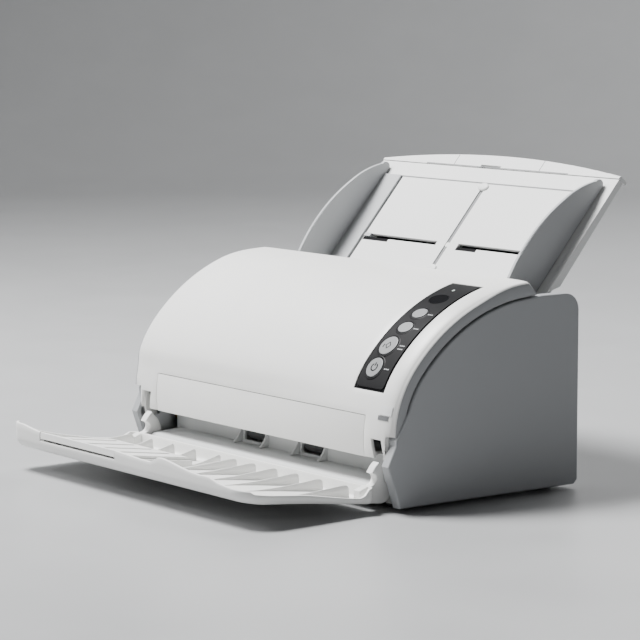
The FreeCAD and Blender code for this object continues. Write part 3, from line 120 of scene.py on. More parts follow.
def moulded(name, colour, rough, grain=2600.0, depth=0.012, mottle=0.03, shine=0.5):
    """Moulded plastic: a fine pebble in the bump, a slow drift in the colour and in the gloss."""
    made, tree, shader = new_material(name)
    where = tree.nodes.new("ShaderNodeTexCoord")
    pebble = add_node(tree, "ShaderNodeTexNoise", Scale=grain, Detail=2.0, Roughness=0.5)
    drift = add_node(tree, "ShaderNodeTexNoise", Scale=9.0, Detail=3.0, Roughness=0.6)
    tree.links.new(where.outputs["Object"], pebble.inputs["Vector"])
    tree.links.new(where.outputs["Object"], drift.inputs["Vector"])
    tint = tree.nodes.new("ShaderNodeValToRGB")
    dark, light = tint.color_ramp.elements
    dark.position, light.position = 0.3, 0.7
    dark.color = tuple(c * (1 - mottle) for c in colour) + (1,)
    light.color = tuple(min(1.0, c * (1 + mottle * 0.4)) for c in colour) + (1,)
    tree.links.new(drift.outputs["Fac"], tint.inputs["Fac"])
    tree.links.new(tint.outputs["Color"], shader.inputs["Base Color"])
    gloss = tree.nodes.new("ShaderNodeMapRange")
    gloss.inputs["To Min"].default_value = rough - 0.04
    gloss.inputs["To Max"].default_value = rough + 0.05
    tree.links.new(drift.outputs["Fac"], gloss.inputs["Value"])
    tree.links.new(gloss.outputs["Result"], shader.inputs["Roughness"])
    bump = add_node(tree, "ShaderNodeBump", Strength=0.35, Distance=depth * MM)
    tree.links.new(pebble.outputs["Fac"], bump.inputs["Height"])
    tree.links.new(bump.outputs["Normal"], shader.inputs["Normal"])
    shader.inputs["Specular IOR Level"].default_value = shine
    return made


def metal(name, colour, rough):
    """Drawn metal: long thin streaks along X in the gloss."""
    made, tree, shader = new_material(name)
    where = tree.nodes.new("ShaderNodeTexCoord")
    stretch = tree.nodes.new("ShaderNodeMapping")
    stretch.inputs["Scale"].default_value = (20, 900, 900)
    streak = add_node(tree, "ShaderNodeTexNoise", Scale=1.0, Detail=3.0, Roughness=0.6)
    tree.links.new(where.outputs["Object"], stretch.inputs["Vector"])
    tree.links.new(stretch.outputs["Vector"], streak.inputs["Vector"])
    gloss = tree.nodes.new("ShaderNodeMapRange")
    gloss.inputs["To Min"].default_value = rough - 0.08
    gloss.inputs["To Max"].default_value = rough + 0.12
    tree.links.new(streak.outputs["Fac"], gloss.inputs["Value"])
    tree.links.new(gloss.outputs["Result"], shader.inputs["Roughness"])
    shader.inputs["Base Color"].default_value = tuple(colour) + (1,)
    shader.inputs["Metallic"].default_value = 1.0
    return made


def clear(name, colour):
    """Clear glass."""
    made, tree, shader = new_material(name)
    shader.inputs["Base Color"].default_value = tuple(colour) + (1,)
    shader.inputs["Roughness"].default_value = 0.05
    shader.inputs["Transmission Weight"].default_value = 0.9
    shader.inputs["IOR"].default_value = 1.5
    return made


WHITE = moulded("white_shell", (0.80, 0.80, 0.785), 0.40)
TRAY_WHITE = moulded("tray_white", (0.80, 0.80, 0.785), 0.42)
# Painted shade: a dark grey on white side mouldings, standing for the shade on the sides turned away from the
# key lamp.
SIDE_PAINTED_SHADE = moulded("side_painted_shade", (0.33, 0.34, 0.352), 0.46, depth=0.02)
GREY = moulded("grey_moulding", (0.62, 0.63, 0.63), 0.5)
CHUTE_GREY = moulded("chute_grey", (0.74, 0.745, 0.74), 0.5, depth=0.02)
DARK = moulded("dark_moulding", (0.03, 0.03, 0.032), 0.5)
PANEL = moulded("panel_black", (0.011, 0.011, 0.012), 0.40, grain=3500.0, depth=0.01, mottle=0.15, shine=0.08)
# Black for the gap round the control panel, and for the sheets and strips that paint the shade in the chute's
# slots.
GAP_AND_SHADE_BLACK = moulded("gap_and_shade_black", (0.008, 0.008, 0.009), 0.6, shine=0.04)
KEY = moulded("key_silver", (0.20, 0.205, 0.21), 0.38, depth=0.006)
# Painted shade: a dark grey on the side guides standing for the shade on their faces.
GUIDE_PAINTED_SHADE = moulded("guide_painted_shade", (0.42, 0.43, 0.44), 0.45, depth=0.02)
# Grey for lines on the head and plate, and for strips that paint the shade in the chute's groove and under its
# ridge.
LINE_AND_SHADE_GREY = moulded("line_and_shade_grey", (0.17, 0.175, 0.18), 0.55)
SEAM_GREY = moulded("seam_grey", (0.14, 0.145, 0.15), 0.6)
WINDOW = moulded("window_black", (0.004, 0.004, 0.005), 0.16, depth=0.0, shine=0.25)
LIGHT = moulded("status_light", (0.45, 0.5, 0.47), 0.2)
RUBBER = moulded("roller_rubber", (0.05, 0.05, 0.052), 0.7, grain=900.0, depth=0.05)
BADGE = moulded("badge_silver", (0.84, 0.845, 0.85), 0.25, depth=0.004)
STEEL = metal("steel", (0.6, 0.61, 0.62), 0.3)
BRONZE = metal("bronze", (0.5, 0.36, 0.2), 0.4)
GEAR = moulded("acetal", (0.78, 0.77, 0.72), 0.35)
GLASS = clear("scan_glass", (0.8, 0.9, 0.87))
INK = moulded("key_ink", (0.006, 0.006, 0.007), 0.6, shine=0.05)
LEGEND = moulded("legend_grey", (0.42, 0.43, 0.44), 0.5)
BOARD = moulded("board_green", (0.02, 0.12, 0.05), 0.4)

LOOKS = {
    "white_shell": WHITE, "grey_shell": GREY, "chute_grey": CHUTE_GREY, "dark_plastic": DARK,
    "panel_black": PANEL, "key_silver": KEY, "window_black": WINDOW, "light_green": LIGHT,
    "badge_silver": BADGE, "roller_rubber": RUBBER, "foot_rubber": RUBBER, "steel": STEEL,
    "bronze": BRONZE, "gear_white": GEAR, "scan_glass": GLASS, "board_green": BOARD}


def dress(node, material):
    """Puts a material on a CAD node."""
    data = NODES[node].data
    data.materials.clear()
    data.materials.append(material)


for part in frame["record"]["subparts"]:
    dress(part["node"], LOOKS[part["material_slot"]])
# The side panels wear the painted shade grey.
dress("left_side_panel", SIDE_PAINTED_SHADE)
dress("right_side_panel", SIDE_PAINTED_SHADE)
# The side guides wear the painted shade grey.
dress("left_side_guide", GUIDE_PAINTED_SHADE)
dress("right_side_guide", GUIDE_PAINTED_SHADE)


# ------------------------------------------------------------------ building surfaces
def piece(name, points, faces, body, material, replaces=(), sharp=35.0):
    """A mesh piece from points in the drawing frame, in mm, turned outwards, smooth up to an angle."""
    points = (np.asarray(points, float) + (0, SHIFT_Y, 0)) * MM
    data = bpy.data.meshes.new(name)
    data.from_pydata(points, [], faces)
    data.update()
    work = bmesh.new()
    work.from_mesh(data)
    bmesh.ops.remove_doubles(work, verts=work.verts, dist=1e-7)
    bmesh.ops.recalc_face_normals(work, faces=work.faces)
    work.to_mesh(data)
    work.free()
    data.polygons.foreach_set("use_smooth", np.ones(len(data.polygons), bool))
    data.set_sharp_from_angle(angle=math.radians(sharp))
    data.materials.append(material)
    made = bpy.data.objects.new(name, data)
    bpy.context.scene.collection.objects.link(made)
    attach(made, body)
    if replaces:
        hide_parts(*replaces)
    return made


def lattice(rows, columns, start=0, wrap=False, keep=None):
    """Quads over a grid of points stored row by row; wrap joins the last column to the first."""
    r, c = np.meshgrid(np.arange(rows - 1), np.arange(columns if wrap else columns - 1), indexing="ij")
    here, aside = r * columns + c, r * columns + (c + 1) % columns
    quads = np.stack([here, aside, aside + columns, here + columns], -1).reshape(-1, 4) + start
    return quads if keep is None else quads[np.asarray(keep).reshape(-1)]


def tube(loops, caps=True):
    """Rings of equal length joined one to the next: a grid that wraps around, closed by its end rings."""
    loops = np.asarray(loops, float)
    rows, columns = loops.shape[:2]
    faces = lattice(rows, columns, wrap=True).tolist()
    if caps:
        faces.append(list(range(columns))[::-1])
        faces.append(list(range((rows - 1) * columns, rows * columns)))
    return loops.reshape(-1, 3), faces


def join(*parts):
    """Several (points, faces) pairs as one."""
    points, faces, base = [], [], 0
    for p, f in parts:
        points.append(np.asarray(p, float))
        faces += [[base + i for i in face] for face in f]
        base += len(p)
    return np.concatenate(points), faces


def prism(outline, low, high, round_off):
    """An outline in the side view carried across from x = low to high, with a small round at both ends.

    The end rings are the outline moved inwards along its own normals by round_off * (1 - sin a), and along
    x by round_off * cos a, with a from 0 to 90 degrees.
    """
    line = np.asarray(outline, float)
    area = np.sum(line[:, 0] * np.roll(line[:, 1], -1) - np.roll(line[:, 0], -1) * line[:, 1])
    if area < 0:
        line = line[::-1]
    before, after = line - np.roll(line, 1, 0), np.roll(line, -1, 0) - line
    before /= np.linalg.norm(before, axis=1)[:, None] + 1e-12
    after /= np.linalg.norm(after, axis=1)[:, None] + 1e-12
    turn = before + after
    turn /= np.linalg.norm(turn, axis=1)[:, None] + 1e-12
    inward = np.stack([-turn[:, 1], turn[:, 0]], 1) / np.clip(np.sum(before * turn, 1), 0.5, 1)[:, None]
    a = np.radians([0, 30, 60, 90])
    sink, rise = round_off * (1 - np.sin(a)), round_off * np.cos(a)
    depth = np.concatenate([sink, sink[::-1]])
    places = np.concatenate([low + round_off - rise, (high - round_off + rise)[::-1]])
    rings = line[None] + inward[None] * depth[:, None, None]
    across = np.broadcast_to(places[:, None, None], rings.shape[:2] + (1,))
    return tube(np.concatenate([across, rings], -1))


def smooth_line(knots, count):
    """A curve through knots: each coordinate is a cubic (Hermite) of the distance along the knots."""
    knots = np.asarray(knots, float)
    reach = np.concatenate([[0], np.cumsum(np.linalg.norm(np.diff(knots, axis=0), axis=1))])
    slope = np.gradient(knots, reach, axis=0)
    t = np.linspace(0, reach[-1], count)
    i = np.clip(np.searchsorted(reach, t, side="right") - 1, 0, len(knots) - 2)
    h = (reach[i + 1] - reach[i])[:, None]
    s = ((t - reach[i]) / h[:, 0])[:, None]
    return ((2 * s**3 - 3 * s**2 + 1) * knots[i] + (s**3 - 2 * s**2 + s) * h * slope[i]
            + (-2 * s**3 + 3 * s**2) * knots[i + 1] + (s**3 - s**2) * h * slope[i + 1])


def step_up(value, low, high):
    """A smooth step from 0 at low to 1 at high: 3 t^2 - 2 t^3."""
    t = np.clip((np.asarray(value, float) - low) / (high - low), 0, 1)
    return t * t * (3 - 2 * t)


def soften(node):
    """Joins a CAD node's loose triangles and rounds its edges, as a moulding tool leaves them."""
    part = NODES[node]
    weld = part.modifiers.new("join", "WELD")
    weld.merge_threshold = 1e-6
    bevel = part.modifiers.new("edge", "BEVEL")
    bevel.width, bevel.segments, bevel.limit_method = 0.35 * MM, 2, "ANGLE"
    bevel.angle_limit = math.radians(32)
    bevel.harden_normals = True
    bevel.use_clamp_overlap = True


# ------------------------------------------------------------------ output tray
TRAY = {"left": -147.0, "right": 141.5, "rear": -87.0, "front": -188.0, "wall": 2.3}
CORNERS = {"front_left": 12.0, "front_right": 19.0, "rear_right": 6.0, "rear_left": 6.0}
SLIP = (-107.0, -11.3)                                 # the extension's place in the front wall
SLIP_RIM, SLIP_STEP = 24.9, 0.02                       # rim height below it, half width of its upright ends
REAR_RIM = 17.4
DRAW_IN = {"by": 5.4, "past": -130, "front": -134, "rear": -112}      # the left wall's shift near the hinge
BOWL = {"rear": 4.0, "more": 8.0, "start": 100.0, "over": 60.0}       # radius of the bottom edge
EDGE_STEPS = ((0.75, 0.0), (0.25, 0.2), (0.0, 0.75))   # inset and drop of the rounded rim
FLOOR_SHARES = (0.1, 0.25, 0.45, 0.7, 0.93)
RIM_LEFT = [(-87, 17.4), (-92, 17.4), (-99, 14.5), (-108, 14.5), (-123, 16.0), (-138, 18.6),
            (-150, 21.0), (-164, 24.5), (-172, 27.5), (-180, 31.0), (-188, 34.0)]
RIM_FRONT = [(-147, 34.0), (-130, 33.6), (-118, 32.0), (-110, 31.0), (-11, 30.9), (6, 30.1), (20, 29.4),
             (31, 29.3), (35, 31.0), (39, 33.2), (44, 33.6), (52, 32.8), (64, 31.0), (76, 29.4),
             (86, 28.7), (93, 28.9), (98, 29.0), (103, 27.6), (109, 26.3), (119, 25.4), (131, 24.7),
             (142, 23.6)]
RIM_RIGHT = [(-188, 23.6), (-175, 22.0), (-164, 20.8), (-152, 19.6), (-140, 18.2), (-123, 15.2),
             (-108, 12.6), (-99, 11.6), (-95.5, 13.0), (-92.5, 16.6), (-87, 17.4)]
FINS = (-128, -103, -76, -49, -19, 0, 22, 47, 71, 97, 125)
FIN = {"rear": -97.0, "front": -160.0, "front_at_slip": -128.0, "height": 8.8}
FIN_SHAPE = [(-1.0, 0.0), (-0.85, 0.55), (-0.62, 0.93), (-0.3, 1.0), (0.3, 1.0), (0.62, 0.93),
             (0.85, 0.55), (1.0, 0.0)]
RAILS, RAIL_WIDE = (-108.4, -13.6), 4.0
RAIL = [(-186, 25.8), (-126.5, 17.7), (-126.5, 12.0), (-186, 18.0)]
ARM_INSIDE, ARM_OUTSIDE = 129.0, 135.7
PIVOT = (-77.5, 12.2)


def tray_floor(y):
    """The tray's underside: 5.6 mm at the hinge, rising to the front along a flat parabola."""
    t = (-86.0 - np.asarray(y, float)) / 102.0
    return 5.6 + 14.0 * t - 3.0 * t * t


def tray_edge():
    """The tray's outline from above, as points, outward normals, rim heights and bottom edge radii.

    It is a rectangle with round corners. Each corner is a quarter circle in 12 steps and each side is
    straight, so moving every point inwards along its normal by the same amount gives the next ring of the
    bowl. Near the hinge the left side is drawn in by a smooth step.
    """
    x0, x1, y0, y1 = TRAY["left"], TRAY["right"], TRAY["front"], TRAY["rear"]
    a = np.linspace(0, math.pi / 2, 13)
    spots = {"front_left": (x0, y0, 1, 1, math.pi), "front_right": (x1, y0, -1, 1, 1.5 * math.pi),
             "rear_right": (x1, y1, -1, -1, 0.0), "rear_left": (x0, y1, 1, -1, 0.5 * math.pi)}
    corners = [(x + right * CORNERS[k], y + up * CORNERS[k], CORNERS[k], start)
               for k, (x, y, right, up, start) in spots.items()]
    low, high = SLIP
    rows = []
    for k, (cx, cy, r, start) in enumerate(corners):
        away = np.stack([np.cos(start + a), np.sin(start + a)], 1)
        rows.append(np.concatenate([(cx, cy) + r * away, away], 1))
        nx, ny, nr, nstart = corners[(k + 1) % 4]
        here, there = rows[-1][-1, :2], (nx + nr * math.cos(nstart), ny + nr * math.sin(nstart))
        if k == 0:
            steps = np.concatenate([np.linspace(here[0], low - SLIP_STEP, 6)[1:], [low + SLIP_STEP],
                                    np.linspace(low, high, 9)[1:-1], [high - SLIP_STEP, high + SLIP_STEP],
                                    np.linspace(high, there[0], 46)[1:-1]])
            straight = np.stack([steps, np.full_like(steps, y0)], 1)
        else:
            t = np.linspace(0, 1, 34 if k % 2 else 12)[1:-1, None]
            straight = np.asarray(here) * (1 - t) + np.asarray(there) * t
        rows.append(np.concatenate([straight, np.broadcast_to(away[-1], straight.shape)], 1))
    edge = np.concatenate(rows)
    place, normal = edge[:, :2], edge[:, 2:]
    near_hinge = step_up(place[:, 1], DRAW_IN["front"], DRAW_IN["rear"])
    place[:, 0] += DRAW_IN["by"] * (place[:, 0] < DRAW_IN["past"]) * near_hinge
    x, y = place.T
    on_front = normal[:, 1] < -0.7
    on_right, on_left = (normal[:, 0] > 0.7) & ~on_front, (normal[:, 0] < -0.7) & ~on_front
    rim = np.full(len(x), REAR_RIM)
    rim[on_front] = np.interp(x[on_front], *np.transpose(RIM_FRONT))
    rim[on_right] = np.interp(y[on_right], *np.transpose(RIM_RIGHT))
    rim[on_left] = np.interp(y[on_left], *np.transpose(RIM_LEFT[::-1]))
    rim[on_front & (x > low) & (x < high)] = SLIP_RIM
    bowl = BOWL["rear"] + BOWL["more"] * np.clip((-y - BOWL["start"]) / BOWL["over"], 0, 1)
    return place, normal, rim, bowl


def tray_shell():
    """The bowl: a ring of wall, a rounded bottom edge and a floor, outside and inside, closed over the rim.

    Ring height falls from the rim to floor + bend, then follows a quarter circle: inset = bend * (1 - cos a),
    height = floor + bend * (1 - sin a). The floor's rings shrink towards the middle as straight mixes.
    """
    place, normal, rim, bowl = tray_edge()
    wall = TRAY["wall"]
    middle = np.array([(TRAY["left"] + TRAY["right"]) / 2, -140.0])
    quarter = np.radians(np.linspace(0, 90, 9))
    low = tray_floor(place[:, 1])

    def moved(inset):
        return place - normal * np.broadcast_to(inset, rim.shape)[:, None]

    def ring(inset, height):
        return np.concatenate([moved(inset), height[:, None]], 1)

    def shrink(inset, lift, share):
        inner = moved(inset) * (1 - share) + middle * share
        return np.concatenate([inner, (tray_floor(inner[:, 1]) + lift)[:, None]], 1)

    def skin(base, side, bend, steps):
        """One skin from the rim down: base is its distance from the outline and its lift off the floor."""
        rings = [ring(base + side * inset, rim - drop) for inset, drop in EDGE_STEPS]
        start = low + base + bend
        rings += [ring(base, (rim - EDGE_STEPS[0][0]) * (1 - s) + start * s) for s in steps]
        for t in quarter:
            inset = base + bend * (1 - math.cos(t))
            rings.append(ring(inset, tray_floor(moved(inset)[:, 1]) + base + bend * (1 - math.sin(t))))
        return rings + [shrink(base + bend, base, share) for share in FLOOR_SHARES]

    soft = np.minimum(bowl, (np.minimum(rim, SLIP_RIM) - low) * 0.8)
    inner_soft = np.minimum(np.maximum(soft - wall, 2.0), (rim - low - wall) * 0.7)
    return tube(skin(0.0, 1, soft, (0.35, 0.7))[::-1] + skin(wall, -1, inner_soft, (0.5,)))


def tray_fin(x, end):
    """A paper fin: a blade whose height is 8.8 * (1 - t)^1.6 from the rear to the front.

    The rear end rises as a quarter ellipse over the first tenth, and the top is narrower than the foot.
    """
    t = np.concatenate([[0, 0.008, 0.022, 0.045, 0.075], np.linspace(0.11, 1, 20)])
    y = FIN["rear"] + (end - FIN["rear"]) * t
    rounded = 0.72 + 0.28 * np.sqrt(1 - np.clip(1 - t / 0.1, 0, 1) ** 2)
    height = FIN["height"] * (1 - t) ** 1.6 * rounded + 0.75
    foot = tray_floor(y) + TRAY["wall"] - 0.5
    wide = 1.05 - 0.15 * t
    across, up = np.transpose(FIN_SHAPE)
    loops = np.stack([x + wide[:, None] * across, np.broadcast_to(y[:, None], (len(y), len(across))),
                      foot[:, None] + height[:, None] * up], -1)
    return tube(loops)


def tray_arm(low, high):
    """A hinge arm: a smooth outline in the side view with a round lobe about the pin, carried across."""
    a = np.radians(np.linspace(-100, 35, 10))
    lobe = np.stack([PIVOT[0] + 7.2 * np.cos(a), PIVOT[1] + 7.2 * np.sin(a)], 1)
    front = smooth_line([(-72.0, 20.0), (-75.0, 26.5), (-80.2, 32.2)], 6)
    nose = smooth_line([(-80.2, 32.2), (-83.0, 29.6), (-85.9, 25.5)], 5)[1:]
    notch = smooth_line([(-85.9, 25.5), (-83.4, 24.4), (-82.0, 22.6), (-82.6, 19.6), (-85.4, 17.6),
                         (-90.0, 17.2)], 12)[1:]
    outline = np.concatenate([lobe, front, nose, notch, [(-96.0, 15.0), (-96.0, 8.4), (-88.0, 6.0)]])
    return prism(outline, low, high, 0.8)


def build_tray():
    """The tray with its fins, the rails of the extension and the hinge arms, as one piece."""
    fins = [tray_fin(x, FIN["front_at_slip" if SLIP[0] - 4 < x < SLIP[1] + 4 else "front"]) for x in FINS]
    rails = [prism(RAIL, x, x + RAIL_WIDE, 0.4) for x in RAILS]
    arms = [tray_arm(-ARM_OUTSIDE, -ARM_INSIDE), tray_arm(ARM_INSIDE, ARM_OUTSIDE)]
    points, faces = join(tray_shell(), *fins, *rails, *arms)
    piece("stacker_bowl", points, faces, "stacker", TRAY_WHITE,
          replaces=["stacker_tray"], sharp=40)


# ------------------------------------------------------------------ cover
FRONT = {"y": -4.6, "z": 45.6, "radius": 77.0}         # the cover's front arc, in the side view
CROWN = {"y": 41.6, "z": 5.8, "radius": 138.0}         # and the flatter arc over its top
JOIN, LIP = 49.3, 3.0                                  # the slopes where the arcs meet and where the top ends
LIP_LINE = [(35.3, 143.4), (36.2, 142.8), (37.3, 141.6), (39.6, 138.8), (41.8, 136.0), (42.2, 135.2)]
LIP_FOOT = 133.9                                       # where the side wall ends under the slanted lip
SEAM = {"bezel_x": 121.3, "bezel_z": 61.4, "panel": (101.9, 133.7), "panel_slopes": (66.2, 13.6),
        "notch": (128.3, 138.7), "skirt": 142.4, "skirt_z": 34.5, "notch_z": 47.0, "apron_z": 50.0}
SHOULDER = {"start": 132.5, "width": 15.0, "right": 3.8, "left": 0.8}
HALF, BAND, SPREAD = 149.0, 10.5, 1.8                  # half width, side wall height, extra width at the left
SWELL, NOTCH_LEAN = 2.6, 0.22
BEZEL_HALF, BEZEL_TOP = 120.9, 61.0
GAP_INSIDE = {"x": (103.5, 131.9), "slopes": (64.7, 14.5)}            # inner edge of the gap round the panel
EAR_INSIDE, EAR_OUTSIDE = 139.8, 142.4


def slope_at(height):
    """The slope of the cover's curve at a height, on whichever arc reaches it."""
    meeting = FRONT["z"] + FRONT["radius"] * math.cos(math.radians(JOIN))
    arc = FRONT if height < meeting else CROWN
    return math.degrees(math.acos((height - arc["z"]) / arc["radius"]))


def skin_line(slope):
    """Points of the cover's curve at some slopes, and the unit vectors inwards there, both as (y, z)."""
    slope = np.asarray(slope, float)
    a = np.radians(slope)
    low = slope > JOIN
    cy, cz, r = (np.where(low, FRONT[k], CROWN[k]) for k in ("y", "z", "radius"))
    place = np.stack([cy - r * np.sin(a), cz + r * np.cos(a)], -1)
    return place, np.stack([np.sin(a), -np.cos(a)], -1)


def shoulder_drop(x, slope):
    """How far the surface lies under the straight curve: an elliptic fall at both sides, less a low swell.

    The fall is d * (1 - sqrt(1 - u^2)), u from 0 at the shoulder's start to 1 at its end, and it fades out
    towards the lip. The swell fades out to the right up to x = 100, towards the lip and the front panel.
    """
    x, slope = np.asarray(x, float), np.asarray(slope, float)
    u = np.clip((np.abs(x) - SHOULDER["start"]) / SHOULDER["width"], 0, 0.985)
    size = np.where(x > 0, SHOULDER["right"], SHOULDER["left"])
    fall = size * (1 - np.sqrt(1 - u * u)) * (0.25 + 0.75 * step_up(slope, 7, 22))
    swell = SWELL * step_up(-x, -100, 20) * step_up(slope, 3, 20) * step_up(-slope, -78, -66)
    return fall - swell


def cover_columns():
    """The grid's columns from left to right: x and, past the shoulder, the share of the way down the wall."""
    turn = np.radians([4.59, 16, 24.4, 33, 41.3, 50, 60, 70, 80])
    shoulder = SHOULDER["start"] + SHOULDER["width"] * np.sin(turn)
    flat = [0, 12, 24, 36, 48, 60, 72, 84, 94, SEAM["panel"][0], 108, 114.5, SEAM["bezel_x"],
            SEAM["notch"][0]]
    right = np.concatenate([flat, shoulder, [148.1, 148.7, HALF, HALF, HALF]])
    share = np.concatenate([np.zeros(len(flat) + len(shoulder)), [0.04, 0.14, 0.32, 0.7, 1.0]])
    left = -right[:0:-1] - SPREAD * step_up(right[:0:-1], SHOULDER["start"], HALF)
    return np.concatenate([left, right]), np.concatenate([share[:0:-1], share])


def cover_rows():
    """The grid's rows from the skirt up to the rear lip: slopes, places, inward directions, wall heights.

    The last rows leave the arc and slant down to the lip's edge, where the side wall runs out.
    """
    low, high = SEAM["panel_slopes"]
    skirt, notch, apron, seam = (slope_at(SEAM[k]) for k in ("skirt_z", "notch_z", "apron_z", "bezel_z"))
    slopes = np.concatenate([[skirt, 93.5, notch, apron, 82.5, seam, 75, 72, 69, low, 61, 57, 53],
                             np.linspace(JOIN, high, 15), [11, 8.5, 6, 4, LIP]])
    place, inward = skin_line(slopes)
    lip = np.array(LIP_LINE)
    wall = np.concatenate([np.full(len(slopes), BAND), lip[:, 1] - LIP_FOOT])
    slopes = np.concatenate([slopes, np.full(len(lip), LIP)])
    inward = np.concatenate([inward, np.tile([0.0, -1.0], (len(lip), 1))])
    return slopes, np.concatenate([place, lip]), inward, wall


def cover_shell():
    """The white cover: a grid over the side view's curve and the width, with the openings left out.

    A point is the curve's point moved inwards by the drop at its column. Past the shoulder the column goes
    down the side wall, where the depth is a mix of the shoulder's and the wall's height. The notch in the
    skirt leans outwards.
    """
    slopes, place, inward, wall = cover_rows()
    x, share = cover_columns()
    drop = shoulder_drop(x[None], slopes[:, None])
    drop = drop * (1 - share) + wall[:, None] * share
    at_notch = (np.abs(x) > SEAM["bezel_x"] + 1) & (np.abs(x) < SEAM["skirt"] - 1)
    below = np.clip(SEAM["notch_z"] - place[:, 1], 0, None)[:, None]
    lean = NOTCH_LEAN * below * (np.sign(x) * at_notch)[None]
    side_view = place[:, None] + inward[:, None] * drop[..., None]
    points = np.concatenate([(x[None] + lean)[..., None], side_view], -1)
    middle = (x[1:] + x[:-1]) / 2
    out = np.abs(middle)
    row = np.arange(len(slopes) - 1)[:, None]
    low, high = SEAM["panel_slopes"]
    middle_slope = (slopes[1:] + slopes[:-1])[:, None] / 2
    skirt = (out > SEAM["bezel_x"]) & (out < SEAM["skirt"])
    tooth = (out > SEAM["notch"][0]) & (out < SEAM["notch"][1])
    in_panel = (middle > SEAM["panel"][0]) & (middle < SEAM["panel"][1])
    keep = np.ones((len(slopes) - 1, len(x) - 1), bool)
    keep &= (row >= 3) | skirt
    keep &= (row >= 2) | ~tooth
    keep &= (row >= 5) | (out > SEAM["bezel_x"])
    keep &= (middle_slope > low) | (middle_slope < high) | ~in_panel
    return points.reshape(-1, 3), lattice(len(slopes), len(x), keep=keep).tolist()


def bezel():
    """The lower front panel: the front arc carried on down, with the return over the exit behind it."""
    slopes = np.linspace(slope_at(BEZEL_TOP), slope_at(SEAM["skirt_z"]), 14)
    outer, inward = skin_line(slopes)
    inner = (outer + 2.4 * inward)[-2::-1]
    back = [(outer[-1, 0] + 0.8, 34.0), (-63.5, 34.4), (-63.5, 36.2), (-77.6, 36.8)]
    return prism(np.concatenate([outer, back, inner]), -BEZEL_HALF, BEZEL_HALF, 0.35)


def patch(x_range, slope_range, lift, thick, steps=(9, 7)):
    """A thin closed plate that follows the cover's surface: two grids and the wall between them."""
    x = np.linspace(*x_range, steps[0])
    slope = np.linspace(*slope_range, steps[1])
    place, inward = skin_line(slope)
    drop = shoulder_drop(x[None], slope[:, None])
    layers = []
    for height in (lift - thick, lift):
        depth = (drop - height)[..., None]
        across = np.broadcast_to(x[None, :, None], depth.shape)
        layers.append(np.concatenate([across, place[:, None] + inward[:, None] * depth], -1))
    rows, columns = steps[1], steps[0]
    size = rows * columns
    grid = np.arange(size).reshape(rows, columns)
    rim = np.concatenate([grid[0, :], grid[1:, -1], grid[-1, -2::-1], grid[-2:0:-1, 0]])
    wall = np.stack([rim, np.roll(rim, -1), np.roll(rim, -1) + size, rim + size], 1)
    faces = lattice(rows, columns).tolist() + lattice(rows, columns, start=size).tolist() + wall.tolist()
    return np.concatenate(layers).reshape(-1, 3), faces


def panel_frame():
    """The black gap round the control panel, as four strips let in below the cover's surface."""
    (left, right), (low, high) = SEAM["panel"], SEAM["panel_slopes"]
    (inner_left, inner_right), (inner_low, inner_high) = GAP_INSIDE["x"], GAP_INSIDE["slopes"]
    strips = [((left, inner_left), (low, high)), ((inner_right, right), (low, high)),
              ((inner_left, inner_right), (low, inner_low)), ((inner_left, inner_right), (inner_high, high))]
    return join(*[patch(x, slopes, -0.5, 0.5, steps=(3, 31)) for x, slopes in strips])


def cover_ear(low, high):
    """A hinge ear: a round lobe about the pin and an arm up to the skirt, carried across."""
    a = np.radians(np.linspace(194, 375, 12))
    lobe = np.stack([-71 + 4 * np.cos(a), 23 + 4 * np.sin(a)], 1)
    arm = [(-69.0, 31.0), (-73.2, 40.0), (-77.4, 49.8), (-79.4, 49.8), (-78.6, 34.5)]
    return prism(np.concatenate([lobe, arm]), low, high, 0.4)


def build_cover():
    """The cover's shell with its side walls in the painted shade grey, the ears, the badge, the front panel
    and the gap.
    """
    points, faces = cover_shell()
    shell = piece("cover_shell", points, faces, "cover", WHITE,
                  replaces=["top_cover"], sharp=42)
    # Painted shade: the faces of the side walls take the darker grey that stands for their shade.
    shell.data.materials.append(SIDE_PAINTED_SHADE)
    centres = np.empty(3 * len(shell.data.polygons))
    shell.data.polygons.foreach_get("center", centres)
    painted_shade_side = np.abs(centres[::3]) > (HALF - 0.4) * MM
    shell.data.polygons.foreach_set("material_index", painted_shade_side.astype(np.int32))
    wall = shell.modifiers.new("wall", "SOLIDIFY")
    wall.thickness, wall.offset = 2.3 * MM, -1.0
    edge = shell.modifiers.new("edge", "BEVEL")
    edge.width, edge.segments = 0.3 * MM, 2
    edge.limit_method, edge.angle_limit = "ANGLE", math.radians(50)
    points, faces = join(cover_ear(-EAR_OUTSIDE, -EAR_INSIDE), cover_ear(EAR_INSIDE, EAR_OUTSIDE))
    piece("cover_ears", points, faces, "cover", WHITE)
    points, faces = patch((135.4, 145.2), (slope_at(63.4), slope_at(69.4)), 0.35, 0.9)
    piece("badge", points, faces, "cover", BADGE, replaces=["badge_plate"])
    points, faces = patch((134.2, 143.4), (slope_at(60.0), slope_at(62.8)), 0.2, 0.6)
    piece("badge_foot", points, faces, "cover", SEAM_GREY)
    points, faces = bezel()
    piece("front_panel", points, faces, "cover", WHITE, replaces=["front_bezel"], sharp=30)
    points, faces = panel_frame()
    piece("panel_frame", points, faces, "cover", GAP_AND_SHADE_BLACK)


# ------------------------------------------------------------------ paper chute details
LEAN, FOOT = math.radians(49.0), (97.5, 164.6)         # the chute's slope, and where its own frame starts
GROOVE_SHADE_OUT = (-0.88, -0.74)                            # the grey strip on the middle groove's floor, painted shade, outwards
SLOT_OUT, SHADOW_STRIP_OUT = (-5.7, -5.55), (-0.3, 0.05)       # black sheets behind the slots and black strips beside them, both painted shade
HEAD_OUT = (0.55, 0.68)
BOSSES, BOSS = (37.6, -36.2), {"wide": 5.4, "tall": 3.4, "height": 1.5}


